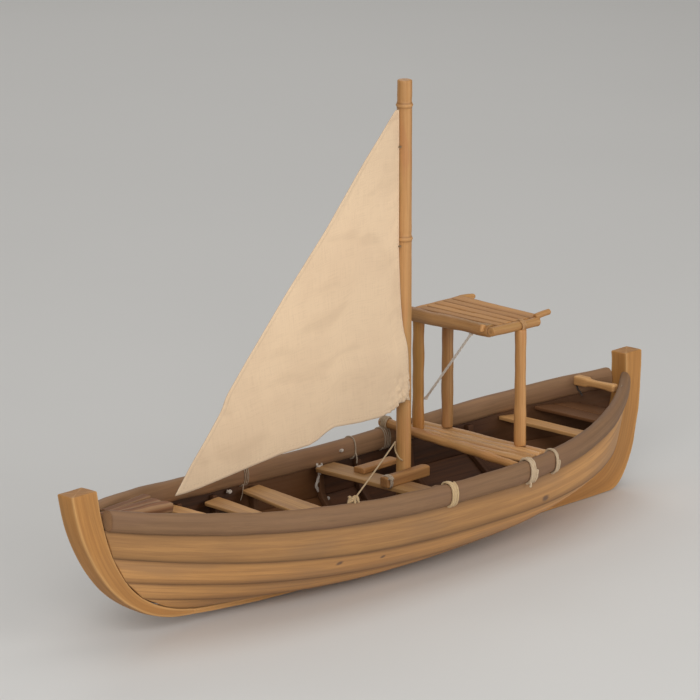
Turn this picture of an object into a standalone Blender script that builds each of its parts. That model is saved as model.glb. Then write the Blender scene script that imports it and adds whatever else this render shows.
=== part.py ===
"""A hand-made wooden model of a double-ended sailing boat, about 0.8 m long.

Frame: +X to the bow, +Y to port, +Z up, origin on the floor under the middle of the keel.
Planked hull with ribs, thwarts and thick rails, a slatted shelter on three posts behind the mast,
and a cane mast whose cloth turns with it. Everything is in metres.
"""
import math

import bmesh
import bpy
import numpy as np
from mathutils import Matrix, Vector

# Driving sizes, metres
HALF_LENGTH = 0.400
GAP = 0.0003
POST_GAP = 0.0012
PLANK = 0.0030
LAP = 0.0007
SEAM = 0.0008
KEEL_HALF = 0.0100
KEEL_DEPTH = 0.0052
KEEL_CORE_HALF = 0.0062
KEEL_CORE_TOP = 0.0080
KEEL_FORE_END = 0.245
KEEL_AFT_END = -0.262
GARBOARD_FORE_X = 0.281
GARBOARD_AFT_X = -0.300
ROCKER_START = 0.040
ROCKER = 0.260

# The rail, and the square frames amidships before the planks fan out along the posts
MID_X = -0.098
SQUARE_FORE = 0.2250
SQUARE_AFT = -0.2400
SQUARE_SHARE = 0.70
FAN_GAP = 0.0009
RAIL_HALF_BEAM = 0.0906
RAIL_END_HALF = 0.0112
RAIL_BOW_X = 0.3585
RAIL_STERN_X = -0.3720
RAIL_MID_Z = 0.0837
RAIL_BOW_RISE = 0.0413
RAIL_STERN_RISE = 0.0264
RAIL_FULL_FORE = 3.40
RAIL_FULL_AFT = 2.55
RAIL_HALF_DEEP = 0.0103
RAIL_OUT = 0.0075
RAIL_IN = 0.0065

STEM_TOP_Z = 0.1546
STERN_TOP_Z = 0.1376
HEEL_SHARE = 0.72

MAST_X = -0.0526
MAST_RADIUS = 0.0071
MAST_TOP_Z = 0.4640
MAST_FOOT_Z = 0.0180

POLE_SIDES = 16

# Outlines of the two end posts in side view: four control points (x, z) of one cubic curve each
STEM_FRONT = ((0.2453, 0.0110), (0.3300, 0.0140), (0.3850, 0.0750), (HALF_LENGTH, STEM_TOP_Z))
STEM_BACK = ((0.2453, 0.0166), (0.3350, 0.0310), (0.3560, 0.0850), (0.3687, STEM_TOP_Z))
STERN_BACK = ((-HALF_LENGTH, STERN_TOP_Z), (-0.4010, 0.0750), (-0.3860, 0.0), (-0.3520, 0.0))
STERN_FRONT = ((-0.3750, STERN_TOP_Z), (-0.3800, 0.0500), (-0.3450, 0.0180), (-0.2623, 0.0055))

# Plank edges from the keel up: name, y and z at the widest place, x of that place, z at the bow
# and stern posts, fullness of the plan curve fore and aft, power of the rise fore and aft
EDGES = (
    ("keel", KEEL_HALF, 0.0055, MID_X, 0.0166, 0.0055, 2.0, 2.0, 2.0, 2.0),
    ("garboard", 0.0442, 0.0088, -0.016, 0.0410, 0.0240, 2.2, 1.5, 2.2, 2.4),
    ("bilge", 0.0700, 0.0215, -0.069, 0.0615, 0.0356, 2.5, 2.0, 2.1, 2.2),
    ("side", 0.0895, 0.0432, -0.092, 0.0875, 0.0576, 3.2, 2.8, 2.0, 2.0),
    ("sheer", 0.0926, 0.0731, MID_X, 0.1144, 0.0995, 3.4, 2.55, 2.0, 2.0),
)

RIB_HALF_WIDTH = 0.0030
RIB_DEPTH = 0.0055
RIB_SEAT = 0.0006
RIB_HEAD_DROP = 0.0014
RIB_X = (0.184, 0.128, 0.070, -0.027, -0.081, -0.155, -0.232)

# Thwarts and bench boards: name, thickness, then at the port end and at the starboard end x of the
# middle, z of the top and half width
THWARTS = (
    ("thwart_1", 0.0035, (0.1965, 0.0870, 0.0082), (0.1965, 0.0870, 0.0082)),
    ("thwart_2", 0.0035, (0.1418, 0.0755, 0.0063), (0.1355, 0.0800, 0.0115)),
    ("thwart_3", 0.0035, (0.0985, 0.0735, 0.0180), (0.0757, 0.0780, 0.0126)),
    ("thwart_mast", 0.0045, (-0.0315, 0.0768, 0.0135), (-0.0315, 0.0768, 0.0135)),
    ("thwart_aft", 0.0040, (-0.2755, 0.0813, 0.0085), (-0.2755, 0.0813, 0.0085)),
    ("stern_bench_1", 0.0035, (-0.3105, 0.0880, 0.0100), (-0.3105, 0.0880, 0.0100)),
    ("stern_bench_2", 0.0035, (-0.3325, 0.0880, 0.0105), (-0.3325, 0.0880, 0.0105)),
)

STERN_BAR_X = -0.3400
STERN_BAR_Z = 0.1115
STERN_BAR_HALF = 0.0040

# Bottom boards: name, y of the middle, half width, x of the aft and fore ends
FLOOR_THICK = 0.0028
FLOOR_BOARDS = (
    ("floor_board_port", 0.0285, 0.0110, -0.160, 0.074),
    ("floor_board_middle_aft", 0.0, 0.0130, -0.236, -0.078),
    ("floor_board_middle_fore", 0.0, 0.0130, -0.0285, 0.133),
    ("floor_board_starboard", -0.0285, 0.0110, -0.160, 0.074),
)

# Platform of flattish poles between the rails; the first one lies over the starboard rail
PLATFORM_FORE_X = -0.1270
PLATFORM_Z = 0.0909
PLATFORM_PITCH = 0.0104
PLATFORM_COUNT = 5
PLATFORM_RADIUS = 0.0047
PLATFORM_FLAT = 0.75
PLATFORM_FORE_RADIUS = 0.0040
PLATFORM_FORE_ENDS = ((-0.0960, 0.0990), (0.0836, 0.0864))

# Shelter posts: name, x, y, z of the top
POST_RADIUS = 0.0057
POSTS = (
    ("post_fore_starboard", -0.1395, -0.0585, 0.2085),
    ("post_aft_starboard", -0.1660, -0.0440, 0.2125),
    ("post_aft_port", -0.1630, 0.0518, 0.2085),
)

# Shelter roof: a fore pole, a long pole each side and slats between the long poles
ROOF_FORE_X = -0.1270
ROOF_FORE_Z = 0.2140
ROOF_FORE_RADII = (0.0068, 0.0060)
ROOF_FORE_Y = (-0.0620, 0.0452)
# Long poles, ring by ring from fore to aft: x, y, z, radius
ROOF_PORT = ((-0.1200, 0.0508, 0.2155, 0.0050), (-0.1890, 0.0508, 0.2128, 0.0047))
ROOF_STARBOARD = ((-0.1344, -0.0570, 0.2140, 0.0049), (-0.2020, -0.0570, 0.2142, 0.0044),
                  (-0.2185, -0.0570, 0.2145, 0.0025), (-0.2210, -0.0570, 0.2146, 0.0012))
# Slats: x of the fore edge, width
SLATS = ((-0.1346, 0.0112), (-0.1468, 0.0115), (-0.1593, 0.0114), (-0.1717, 0.0116), (-0.1843, 0.0150))
SLAT_THICK = 0.0045
SLAT_LIFT = 0.0015

# Mast step: a block on the keel with a round socket for the mast's foot
STEP_HALF_LONG = 0.0220
STEP_HALF_WIDE = 0.0120
STEP_TOP_Z = 0.0300
STEP_SHOULDER_Z = 0.0104
SOCKET_RADIUS = MAST_RADIUS + 0.0006
CUT_OVERRUN = 0.0100

# Boards beside the mast: name, low y, high y, low z, high z, x of the aft and fore ends
MAST_BOARDS = (
    ("mast_board_port", 0.0077, 0.0180, 0.0771, 0.0872, -0.0710, -0.0100),
    ("mast_board_starboard", -0.0455, -0.0315, 0.0771, 0.0826, -0.0820, -0.0310),
)

# Foredeck: name, thickness, softened edge, then x, y, half width and top z of each end
FOREDECK = (
    ("foredeck_port", 0.0100, 0.0020, (0.2830, 0.0150, 0.0072, 0.1280), (0.3400, 0.0098, 0.0058, 0.1290)),
    ("foredeck_middle", 0.0050, 0.0010, (0.2780, -0.0055, 0.0062, 0.1250), (0.3560, 0.0000, 0.0040, 0.1285)),
    ("foredeck_starboard", 0.0050, 0.0010, (0.2720, -0.0235, 0.0050, 0.1240), (0.3400, -0.0108, 0.0046, 0.1265)),
)

# Cords in tension: name, start and end
CORD_RADIUS = 0.0008
CORDS = (
    ("shelter_brace", (-0.1440, -0.0528, 0.1265), (-0.1275, 0.0190, 0.2062)),
    ("mast_guy", (-0.0450, -0.0038, 0.1122), (0.1031, 0.0790, 0.1045)),
)

# Sail: its edge along the mast as z, angle round the mast from forward to port, distance from the axis
SAIL_LUFF = ((0.1580, 64.0, 0.0100), (0.1900, 66.0, 0.0102), (0.2080, 62.0, 0.0098),
             (0.2250, 36.0, 0.0090), (0.2500, 19.0, 0.0086), (0.3000, 2.0, 0.0082), (0.4364, 0.0, 0.0080))
# The free edge from the low corner up, and the lower edge from the mast to the low corner: x, z
SAIL_LEECH = ((0.2598, 0.1247), (0.2506, 0.1351), (0.2394, 0.1488), (0.2200, 0.1685), (0.1974, 0.1933),
              (0.1920, 0.2045), (0.1652, 0.2325), (0.1112, 0.2869), (0.0566, 0.3381), (0.0013, 0.3965),
              (-0.0405, 0.4364))
SAIL_FOOT = ((-0.0482, 0.1580), (-0.0325, 0.1578), (-0.0262, 0.1505), (-0.0069, 0.1471), (0.0228, 0.1480),
             (0.0599, 0.1512), (0.0723, 0.1481), (0.0833, 0.1436), (0.0941, 0.1409), (0.1321, 0.1399),
             (0.1673, 0.1353), (0.2038, 0.1300), (0.2302, 0.1265), (0.2452, 0.1251), (0.2598, 0.1247))
SAIL_THICK = 0.0012
SAIL_BELLY = 0.0080
SAIL_COLUMNS = 22
SAIL_ROWS = 20


def material(name, colour, roughness, metallic=0.0):
    """Returns a plain Principled material of that name, made once."""
    found = bpy.data.materials.get(name)
    if found:
        return found
    made = bpy.data.materials.new(name)
    made.use_nodes = True
    shader = made.node_tree.nodes["Principled BSDF"]
    shader.inputs["Base Color"].default_value = (*colour, 1.0)
    shader.inputs["Roughness"].default_value = roughness
    shader.inputs["Metallic"].default_value = metallic
    made.diffuse_color = (*colour, 1.0)
    return made


# Finishes: name, colour, roughness
POST_WOOD = ("post_wood", (0.50, 0.29, 0.13), 0.60)
HULL_WOOD = ("hull_wood", (0.40, 0.25, 0.12), 0.62)
RAIL_WOOD = ("rail_wood", (0.23, 0.16, 0.10), 0.70)
INNER_WOOD = ("inner_wood", (0.12, 0.07, 0.045), 0.75)
SEAT_WOOD = ("seat_wood", (0.45, 0.28, 0.14), 0.62)
CANE = ("cane", (0.47, 0.29, 0.13), 0.50)
CLOTH = ("sail_cloth", (0.72, 0.58, 0.42), 0.90)
TWINE = ("twine", (0.68, 0.60, 0.46), 0.90)


def put(name, vertices, faces, finish, smooth_angle=None):
    """Makes one object from vertices and faces, with its faces turned outwards."""
    mesh = bpy.data.meshes.new(name)
    mesh.from_pydata([tuple(map(float, v)) for v in vertices], [], faces)
    work = bmesh.new()
    work.from_mesh(mesh)
    bmesh.ops.recalc_face_normals(work, faces=work.faces[:])
    work.to_mesh(mesh)
    work.free()
    if smooth_angle is not None:
        mesh.shade_smooth()
        mesh.set_sharp_from_angle(angle=math.radians(smooth_angle))
    mesh.materials.append(material(*finish))
    made = bpy.data.objects.new(name, mesh)
    bpy.context.scene.collection.objects.link(made)
    return made


def loft(name, rings, finish, smooth_angle=None):
    """Skins rings of equal length, in order, and closes both ends."""
    count = len(rings[0])
    vertices = [point for ring in rings for point in ring]
    faces = []
    for i in range(len(rings) - 1):
        for j in range(count):
            k = (j + 1) % count
            faces.append((i * count + j, i * count + k, (i + 1) * count + k, (i + 1) * count + j))
    faces.append(tuple(range(count)))
    last = (len(rings) - 1) * count
    faces.append(tuple(range(last, last + count)))
    return put(name, vertices, faces, finish, smooth_angle)


def box_ring(x, y_low, y_high, z_low, z_high):
    """Four corners of an upright rectangle across the boat at x."""
    return [(x, y_low, z_low), (x, y_high, z_low), (x, y_high, z_high), (x, y_low, z_high)]


def round_rod(name, centres, radii, finish, sides=POLE_SIDES, flat=1.0):
    """A round pole through the centres, each with its radius; flat presses it vertically."""
    centres = np.array(centres, float)
    along = centres[-1] - centres[0]
    along /= np.linalg.norm(along)
    side = np.cross(along, (0.0, 0.0, 1.0))
    if np.linalg.norm(side) < 1e-6:
        side = np.array((1.0, 0.0, 0.0))
    side /= np.linalg.norm(side)
    up = np.cross(side, along) * flat
    angles = [2 * math.pi * (i + 0.5) / sides for i in range(sides)]
    rings = [[centre + r * (math.cos(a) * side + math.sin(a) * up) for a in angles]
             for centre, r in zip(centres, radii)]
    return loft(name, rings, finish, 40)


def soften(target, width, segments=2):
    """Rounds the edges of a straight-cut piece."""
    bevel = target.modifiers.new("soft_edges", "BEVEL")
    bevel.width = width
    bevel.segments = segments
    bevel.limit_method = "ANGLE"
    bevel.angle_limit = math.radians(40)
    return target


def cubic(points, t):
    """Point at t on the cubic curve with four control points."""
    a, b, c, d = (np.array(p, float) for p in points)
    return (1 - t) ** 3 * a + 3 * (1 - t) ** 2 * t * b + 3 * (1 - t) * t ** 2 * c + t ** 3 * d


def cubic_where(points, axis, value):
    """Point (x, z) where the cubic curve passes a value of x (axis 0) or of z (axis 1)."""
    low, high = 0.0, 1.0
    rising = points[3][axis] > points[0][axis]
    for _ in range(40):
        middle = (low + high) / 2
        if (cubic(points, middle)[axis] < value) == rising:
            low = middle
        else:
            high = middle
    return cubic(points, low)


def keel_bottom(x):
    """Height of the keel's underside: flat, then a slow rise to the bow."""
    return ROCKER * max(0.0, x - ROCKER_START) ** 2


def edge_ends(edge):
    """x of a plank edge at the bow post and at the stern post, short of the posts by the gap."""
    if edge[0] == "keel":
        return GARBOARD_FORE_X, GARBOARD_AFT_X
    bow = cubic_where(STEM_BACK, 1, edge[4])[0] - POST_GAP
    stern = cubic_where(STERN_FRONT, 1, edge[5])[0] + POST_GAP
    return float(bow), float(stern)


def edge_point(edge, x):
    """(y, z) of a plank edge at x, on the port side."""
    _, y_mid, z_mid, mid_x, z_bow, z_stern, full_fore, full_aft, rise_fore, rise_aft = edge
    bow, stern = edge_ends(edge)
    if edge[0] == "keel":
        if x > KEEL_FORE_END:
            return y_mid, float(cubic_where(STEM_BACK, 0, x)[1]) + 2 * GAP
        if x < KEEL_AFT_END:
            return y_mid, float(cubic_where(STERN_FRONT, 0, x)[1]) + 2 * GAP
        return y_mid, keel_bottom(x) + z_mid
    fore = x > mid_x
    t = max(0.0, (x - mid_x) / ((bow if fore else stern) - mid_x))
    full, rise = (full_fore, rise_fore) if fore else (full_aft, rise_aft)
    y = KEEL_HALF + (y_mid - KEEL_HALF) * (1 - t ** full)
    z = z_mid + ((z_bow if fore else z_stern) - z_mid) * t ** rise
    return y, z


def skin(xs, depth):
    """Points of the hull's skin at the five edges, each at its own x, pushed inwards by depth."""
    points = np.array([edge_point(edge, x) for edge, x in zip(EDGES, xs)])
    runs = points[1:] - points[:-1]
    runs /= np.linalg.norm(runs, axis=1)[:, None]
    normals = np.stack([runs[:, 1], -runs[:, 0]], axis=1)
    pushed = []
    for i, point in enumerate(points):
        before, after = normals[max(i - 1, 0)], normals[min(i, len(normals) - 1)]
        middle = before + after
        middle /= np.linalg.norm(middle)
        pushed.append(point - middle * depth / max(0.6, float(middle @ after)))
    pushed[-1][1] = points[-1][1]
    return np.array(pushed), runs, normals


def skin_y(x, z, depth):
    """Half breadth of the skin at x and height z, at that depth inside the outer face."""
    points, _, _ = skin([x] * len(EDGES), depth)
    return float(np.interp(z, points[:, 1], points[:, 0]))


def plank_x(s, bow, stern):
    """x on a plank edge at step s: square stations amidships, then a fan that ends along the posts."""
    square, end = (SQUARE_FORE, bow) if s > 0 else (SQUARE_AFT, stern)
    share = abs(s) / SQUARE_SHARE
    if share <= 1.0:
        return MID_X + share * (square - MID_X)
    return square + (abs(s) - SQUARE_SHARE) / (1.0 - SQUARE_SHARE) * (end - square)


def rail_centre(x):
    """Half breadth and height of the rail's middle at x."""
    fore = x > MID_X
    t = (x - MID_X) / ((RAIL_BOW_X if fore else RAIL_STERN_X) - MID_X)
    t = min(1.0, max(0.0, t))
    full = RAIL_FULL_FORE if fore else RAIL_FULL_AFT
    y = RAIL_END_HALF + (RAIL_HALF_BEAM - RAIL_END_HALF) * (1 - t ** full)
    z = RAIL_MID_Z + (RAIL_BOW_RISE if fore else RAIL_STERN_RISE) * t ** 2
    return y, z


def rib_section(x):
    """Outer and inner points (y, z) of a rib's section at x, port side, from the keel to its head."""
    outer, _, _ = skin([x] * len(EDGES), PLANK + RIB_SEAT)
    inner, _, _ = skin([x] * len(EDGES), PLANK + RIB_SEAT + RIB_DEPTH)
    over_keel = keel_bottom(x) + KEEL_CORE_TOP + GAP
    outer[0][1] = max(outer[0][1], over_keel)
    inner[0][1] = max(inner[0][1], over_keel + RIB_DEPTH)
    outer[-1][1] -= RIB_HEAD_DROP
    inner[-1][1] -= RIB_HEAD_DROP
    return outer, inner


def rib_top(x, y):
    """Height of the inside of a rib at x and half breadth y."""
    _, inner = rib_section(x)
    return float(np.interp(abs(y), inner[:, 0], inner[:, 1]))


def inside_reach(x, z, top, depth):
    """How far a cross board reaches at (x, z): to that depth in the planks, or to a rail it is level with."""
    rail_y, rail_z = rail_centre(x)
    reach = skin_y(x, z, depth)
    if top > rail_z - RAIL_HALF_DEEP - 2 * GAP:
        reach = min(reach, rail_y - RAIL_IN)
    return reach - (GAP if SQUARE_AFT < x < SQUARE_FORE else FAN_GAP)


def stations(count, power=1.0):
    """Steps from -1 at the stern to 1 at the bow, closer together near both ends."""
    steps = np.linspace(-1.0, 1.0, count)
    return np.sign(steps) * (1 - (1 - np.abs(steps)) ** power)


def make_keel():
    """The keel: a full-width lower part, and a narrower core between the lowest planks."""
    rings = []
    for x in np.linspace(KEEL_AFT_END, KEEL_FORE_END, 25):
        z = keel_bottom(x)
        half = [(KEEL_HALF, z), (KEEL_HALF, z + KEEL_DEPTH), (KEEL_CORE_HALF, z + KEEL_DEPTH),
                (KEEL_CORE_HALF, z + KEEL_CORE_TOP)]
        rings.append([(x, y, h) for y, h in half] + [(x, -y, h) for y, h in reversed(half)])
    loft("keel", rings, POST_WOOD)


def post_ring(one, other):
    """Four corners of an end post between two outline points (x, z)."""
    return [(one[0], KEEL_HALF, one[1]), (other[0], KEEL_HALF, other[1]),
            (other[0], -KEEL_HALF, other[1]), (one[0], -KEEL_HALF, one[1])]


def make_end_posts():
    """The curved stem and the upright stern post with its heel, one piece of timber each."""
    steps = np.linspace(0.0, 1.0, 22)
    rings = [post_ring(cubic(STEM_FRONT, t), cubic(STEM_BACK, t)) for t in steps]
    soften(loft("stem_post", rings, POST_WOOD, 30), 0.0008, 1)
    rings = []
    heel_x, toe_x = STERN_BACK[3][0], KEEL_AFT_END - GAP
    for t in steps:
        if t <= HEEL_SHARE:
            back = cubic(STERN_BACK, t / HEEL_SHARE)
        else:
            back = (heel_x + (t - HEEL_SHARE) / (1 - HEEL_SHARE) * (toe_x - heel_x), 0.0)
        rings.append(post_ring(back, cubic(STERN_FRONT, t)))
    soften(loft("stern_post", rings, POST_WOOD, 30), 0.0008, 1)


def make_strakes():
    """Four planks a side, each between two edge curves, with a small step at its lower edge."""
    ends = [edge_ends(edge) for edge in EDGES]
    for low in range(len(EDGES) - 1):
        high = low + 1
        for side, label in ((1, "port"), (-1, "starboard")):
            rings = []
            for s in np.linspace(-1.0, 1.0, 37):
                xs = [plank_x(s, bow, stern) for bow, stern in ends]
                outer, runs, normals = skin(xs, 0.0)
                inner, _, _ = skin(xs, PLANK)
                step = LAP if low else 0.0
                up = runs[low] * SEAM / 2
                corners = [(xs[low], outer[low] + up + normals[low] * step), (xs[high], outer[high] - up),
                           (xs[high], inner[high] - up), (xs[low], inner[low] + up)]
                rings.append([(x, side * p[0], p[1]) for x, p in corners])
            loft(f"strake_{high}_{label}", rings, HULL_WOOD, 30)


def make_rails():
    """The thick rounded rail on each side, its ends close to the two posts."""
    shape = [(math.cos(a), math.sin(a)) for a in np.linspace(0, 2 * math.pi, 13)[:-1]]
    for side, label in ((1, "port"), (-1, "starboard")):
        rings = []
        for s in stations(41, 1.5):
            x = MID_X + abs(s) * ((RAIL_BOW_X if s > 0 else RAIL_STERN_X) - MID_X)
            y, z = rail_centre(x)
            ring = []
            for c, d in shape:
                reach = RAIL_OUT if c > 0 else RAIL_IN
                across = math.copysign(reach * abs(c) ** 0.8, c)
                ring.append((x, side * (y + across), z + math.copysign(RAIL_HALF_DEEP * abs(d) ** 0.85, d)))
            rings.append(ring)
        loft(f"rail_{label}", rings, RAIL_WOOD, 50)


def make_ribs():
    """Bent ribs from rail to rail, seated on the inside of the planks."""
    for number, middle in enumerate(RIB_X, 1):
        xa, xb = middle - RIB_HALF_WIDTH, middle + RIB_HALF_WIDTH
        outer_a, inner_a = rib_section(xa)
        outer_b, inner_b = rib_section(xb)
        rings = []
        for side in (1, -1):
            for i in range(len(EDGES))[::-side]:
                corners = ((xa, outer_a[i]), (xb, outer_b[i]), (xb, inner_b[i]), (xa, inner_a[i]))
                rings.append([(x, side * p[0], p[1]) for x, p in corners])
        loft(f"rib_{number}", rings, INNER_WOOD)


def make_thwarts():
    """Cross boards cut to the inside of the planks, or to the ribs they meet."""
    for name, thick, *ends in THWARTS:
        finish = INNER_WOOD if name.startswith("stern_bench") else SEAT_WOOD
        rings = []
        for side, (middle, top, half) in zip((1, -1), ends):
            depth = PLANK
            for rib in RIB_X:
                head = rib_section(rib)[1][-1][1]
                if abs(rib - middle) < half + RIB_HALF_WIDTH + GAP and top - thick < head:
                    depth = PLANK + RIB_SEAT + RIB_DEPTH
            corners = ((middle - half, top - thick), (middle + half, top - thick), (middle + half, top),
                       (middle - half, top))
            rings.append([(x, side * inside_reach(x, z, top, depth), z) for x, z in corners])
        soften(loft(name, rings, finish), 0.0006, 1)


def make_stern_bar():
    """The squared stick across the stern between the rails."""
    fore, aft = STERN_BAR_X + STERN_BAR_HALF, STERN_BAR_X - STERN_BAR_HALF
    low, high = STERN_BAR_Z - STERN_BAR_HALF, STERN_BAR_Z + STERN_BAR_HALF
    rings = []
    for side in (1, -1):
        rings.append([(x, side * (rail_centre(x)[0] - RAIL_IN - GAP), z)
                      for x, z in ((aft, low), (fore, low), (fore, high), (aft, high))])
    soften(loft("stern_bar", rings, SEAT_WOOD), 0.0022, 2)


def make_floor():
    """Loose bottom boards that lie on the ribs and bend with them."""
    for name, y, half, aft, fore in FLOOR_BOARDS:
        rings = []
        for x in (aft, *[rib for rib in reversed(RIB_X) if aft < rib < fore], fore):
            low = rib_top(x, abs(y) + half) + GAP
            rings.append(box_ring(x, y - half, y + half, low, low + FLOOR_THICK))
        loft(name, rings, INNER_WOOD)


def make_platform():
    """Flattish poles across the boat between the rails, behind a round one over the starboard rail."""
    centres = [(PLATFORM_FORE_X, y, z) for y, z in PLATFORM_FORE_ENDS]
    round_rod("platform_pole_1", centres, [PLATFORM_FORE_RADIUS] * 2, CANE)
    for number in range(1, PLATFORM_COUNT):
        x = PLATFORM_FORE_X - number * PLATFORM_PITCH
        reach = rail_centre(x)[0] - RAIL_IN - GAP
        ends = [(x, -reach, PLATFORM_Z), (x, reach, PLATFORM_Z)]
        round_rod(f"platform_pole_{number + 1}", ends, [PLATFORM_RADIUS] * 2, CANE, flat=PLATFORM_FLAT)


def pole_centre(pole, x):
    """(y, z, radius) of a long roof pole at x."""
    rings = np.array(pole)[::-1]
    return [float(np.interp(x, rings[:, 0], rings[:, column])) for column in (1, 2, 3)]


def make_shelter():
    """Three posts, a fore pole, two long poles and the slats of the roof."""
    foot = PLATFORM_Z + PLATFORM_RADIUS * PLATFORM_FLAT + GAP
    for name, x, y, top in POSTS:
        round_rod(name, [(x, y, foot), (x, y, top)], [POST_RADIUS] * 2, CANE)
    round_rod("roof_fore_pole", [(ROOF_FORE_X, y, ROOF_FORE_Z) for y in ROOF_FORE_Y], ROOF_FORE_RADII, CANE)
    for name, pole in (("roof_pole_port", ROOF_PORT), ("roof_pole_starboard", ROOF_STARBOARD)):
        round_rod(name, [ring[:3] for ring in pole], [ring[3] for ring in pole], CANE)
    for number, (fore, width) in enumerate(SLATS, 1):
        rings = []
        for pole, inward in ((ROOF_STARBOARD, 1), (ROOF_PORT, -1)):
            ring = []
            for x, level in ((fore, 0), (fore - width, 0), (fore - width, 1), (fore, 1)):
                y, z, radius = pole_centre(pole, x)
                low = z + SLAT_LIFT - SLAT_THICK / 2
                ring.append((x, y + inward * (radius + GAP), low + level * SLAT_THICK))
            rings.append(ring)
        soften(loft(f"roof_slat_{number}", rings, CANE), 0.0014, 2)


def turn_about_mast(target):
    """Moves an object's origin to the foot of the mast's axis, and leaves its shape where it is."""
    foot = Vector((MAST_X, 0.0, MAST_FOOT_Z))
    target.data.transform(Matrix.Translation(-foot))
    target.location = foot


def make_mast_parts():
    """The mast's step on the keel, the two boards beside it and the mast."""
    low = KEEL_CORE_TOP + GAP
    section = ((KEEL_CORE_HALF, low), (KEEL_CORE_HALF, STEP_SHOULDER_Z), (STEP_HALF_WIDE, STEP_SHOULDER_Z),
               (STEP_HALF_WIDE, STEP_TOP_Z))
    rings = [[(MAST_X + x, y, z) for y, z in section] + [(MAST_X + x, -y, z) for y, z in reversed(section)]
             for x in (-STEP_HALF_LONG, STEP_HALF_LONG)]
    step = loft("mast_step", rings, INNER_WOOD)
    ends = [(MAST_X, 0, MAST_FOOT_Z - GAP), (MAST_X, 0, STEP_TOP_Z + CUT_OVERRUN)]
    cutter = round_rod("socket_cutter", ends, [SOCKET_RADIUS] * 2, INNER_WOOD)
    cutter.hide_render = True
    cutter.display_type = "WIRE"
    hole = step.modifiers.new("socket", "BOOLEAN")
    hole.operation = "DIFFERENCE"
    hole.object = cutter
    for name, y_low, y_high, z_low, z_high, aft, fore in MAST_BOARDS:
        rings = [box_ring(x, y_low, y_high, z_low, z_high) for x in (aft, fore)]
        soften(loft(name, rings, SEAT_WOOD), 0.0012, 1)
    ends = [(MAST_X, 0, MAST_FOOT_Z), (MAST_X, 0, MAST_TOP_Z)]
    turn_about_mast(round_rod("mast", ends, [MAST_RADIUS] * 2, CANE, sides=24))


def make_foredeck():
    """Three boards that run together in the bow between the rails."""
    for name, thick, softened, *ends in FOREDECK:
        rings = [box_ring(x, y - half, y + half, top - thick, top) for x, y, half, top in ends]
        soften(loft(name, rings, RAIL_WOOD), softened, 2)


def make_cords():
    """The brace across the open corner of the shelter, and the guy from the mast to the port rail."""
    for name, start, end in CORDS:
        round_rod(name, (start, end), [CORD_RADIUS] * 2, TWINE, sides=8)


def sail_middle():
    """Rows of points of the cloth: a patch stretched between its four curved edges, with a soft belly."""
    luff, leech, foot = (np.array(table) for table in (SAIL_LUFF, SAIL_LEECH, SAIL_FOOT))
    v = np.linspace(0.0, 1.0, SAIL_ROWS + 1)[:, None]
    u = np.linspace(0.0, 1.0, SAIL_COLUMNS + 1)[None, :]
    luff_z = luff[0, 0] + (luff[-1, 0] - luff[0, 0]) * v
    angle = np.radians(np.interp(luff_z, luff[:, 0], luff[:, 1]))
    reach = np.interp(luff_z, luff[:, 0], luff[:, 2])
    left = [MAST_X + reach * np.cos(angle), reach * np.sin(angle), luff_z]
    leech_z = leech[0, 1] + (leech[-1, 1] - leech[0, 1]) * v
    right = [np.interp(leech_z, leech[:, 1], leech[:, 0]), 0 * v, leech_z]
    foot_x = left[0][0] + (right[0][0] - left[0][0]) * u
    belly = SAIL_BELLY * np.sin(math.pi * u) * (1 - v)
    low = [foot_x, left[1][0] * (1 - u), np.interp(foot_x, foot[:, 0], foot[:, 1])]
    points = []
    for axis in range(3):
        a, b = left[axis], right[axis]
        ruled = a * (1 - u) + b * u
        points.append(ruled + (1 - v) * (low[axis] - ruled[:1]) + (belly if axis == 1 else 0.0))
    return np.stack(points, axis=-1)


def make_sail():
    """The hanging three-cornered cloth, a thin curved sheet between the mast and its free corner."""
    middle = sail_middle().reshape(-1, 3)
    half = np.array((0.0, SAIL_THICK / 2, 0.0))
    count = len(middle)
    wide = SAIL_COLUMNS + 1
    faces = []
    for i in range(SAIL_ROWS):
        for j in range(SAIL_COLUMNS):
            a = i * wide + j
            faces.append((a, a + 1, a + wide + 1, a + wide))
            faces.append((count + a, count + a + wide, count + a + wide + 1, count + a + 1))
    rim = list(range(wide)) + [i * wide + wide - 1 for i in range(1, SAIL_ROWS + 1)]
    rim += [SAIL_ROWS * wide + j for j in range(wide - 2, -1, -1)] + [i * wide for i in range(SAIL_ROWS - 1, 0, -1)]
    for a, b in zip(rim, rim[1:] + rim[:1]):
        faces.append((a, count + a, count + b, b))
    turn_about_mast(put("sail", np.concatenate([middle + half, middle - half]), faces, CLOTH, 60))


def main():
    """Clears the scene and makes every piece."""
    for old in list(bpy.data.objects):
        bpy.data.objects.remove(old, do_unlink=True)
    make_keel()
    make_end_posts()
    make_strakes()
    make_rails()
    make_ribs()
    make_thwarts()
    make_stern_bar()
    make_floor()
    make_platform()
    make_shelter()
    make_foredeck()
    make_cords()
    make_mast_parts()
    make_sail()


main()
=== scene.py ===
"""Looks of a hand-made wooden model of a double-ended sailing boat with a shelter and one sail.

Frame: +X to the bow, +Y to port, +Z up, metres. The hull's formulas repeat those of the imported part, so that
every finer piece lies where its solid lies.
"""
import functools
import logging
import math
from dataclasses import dataclass
from enum import Enum
from typing import Any, Sequence

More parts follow.
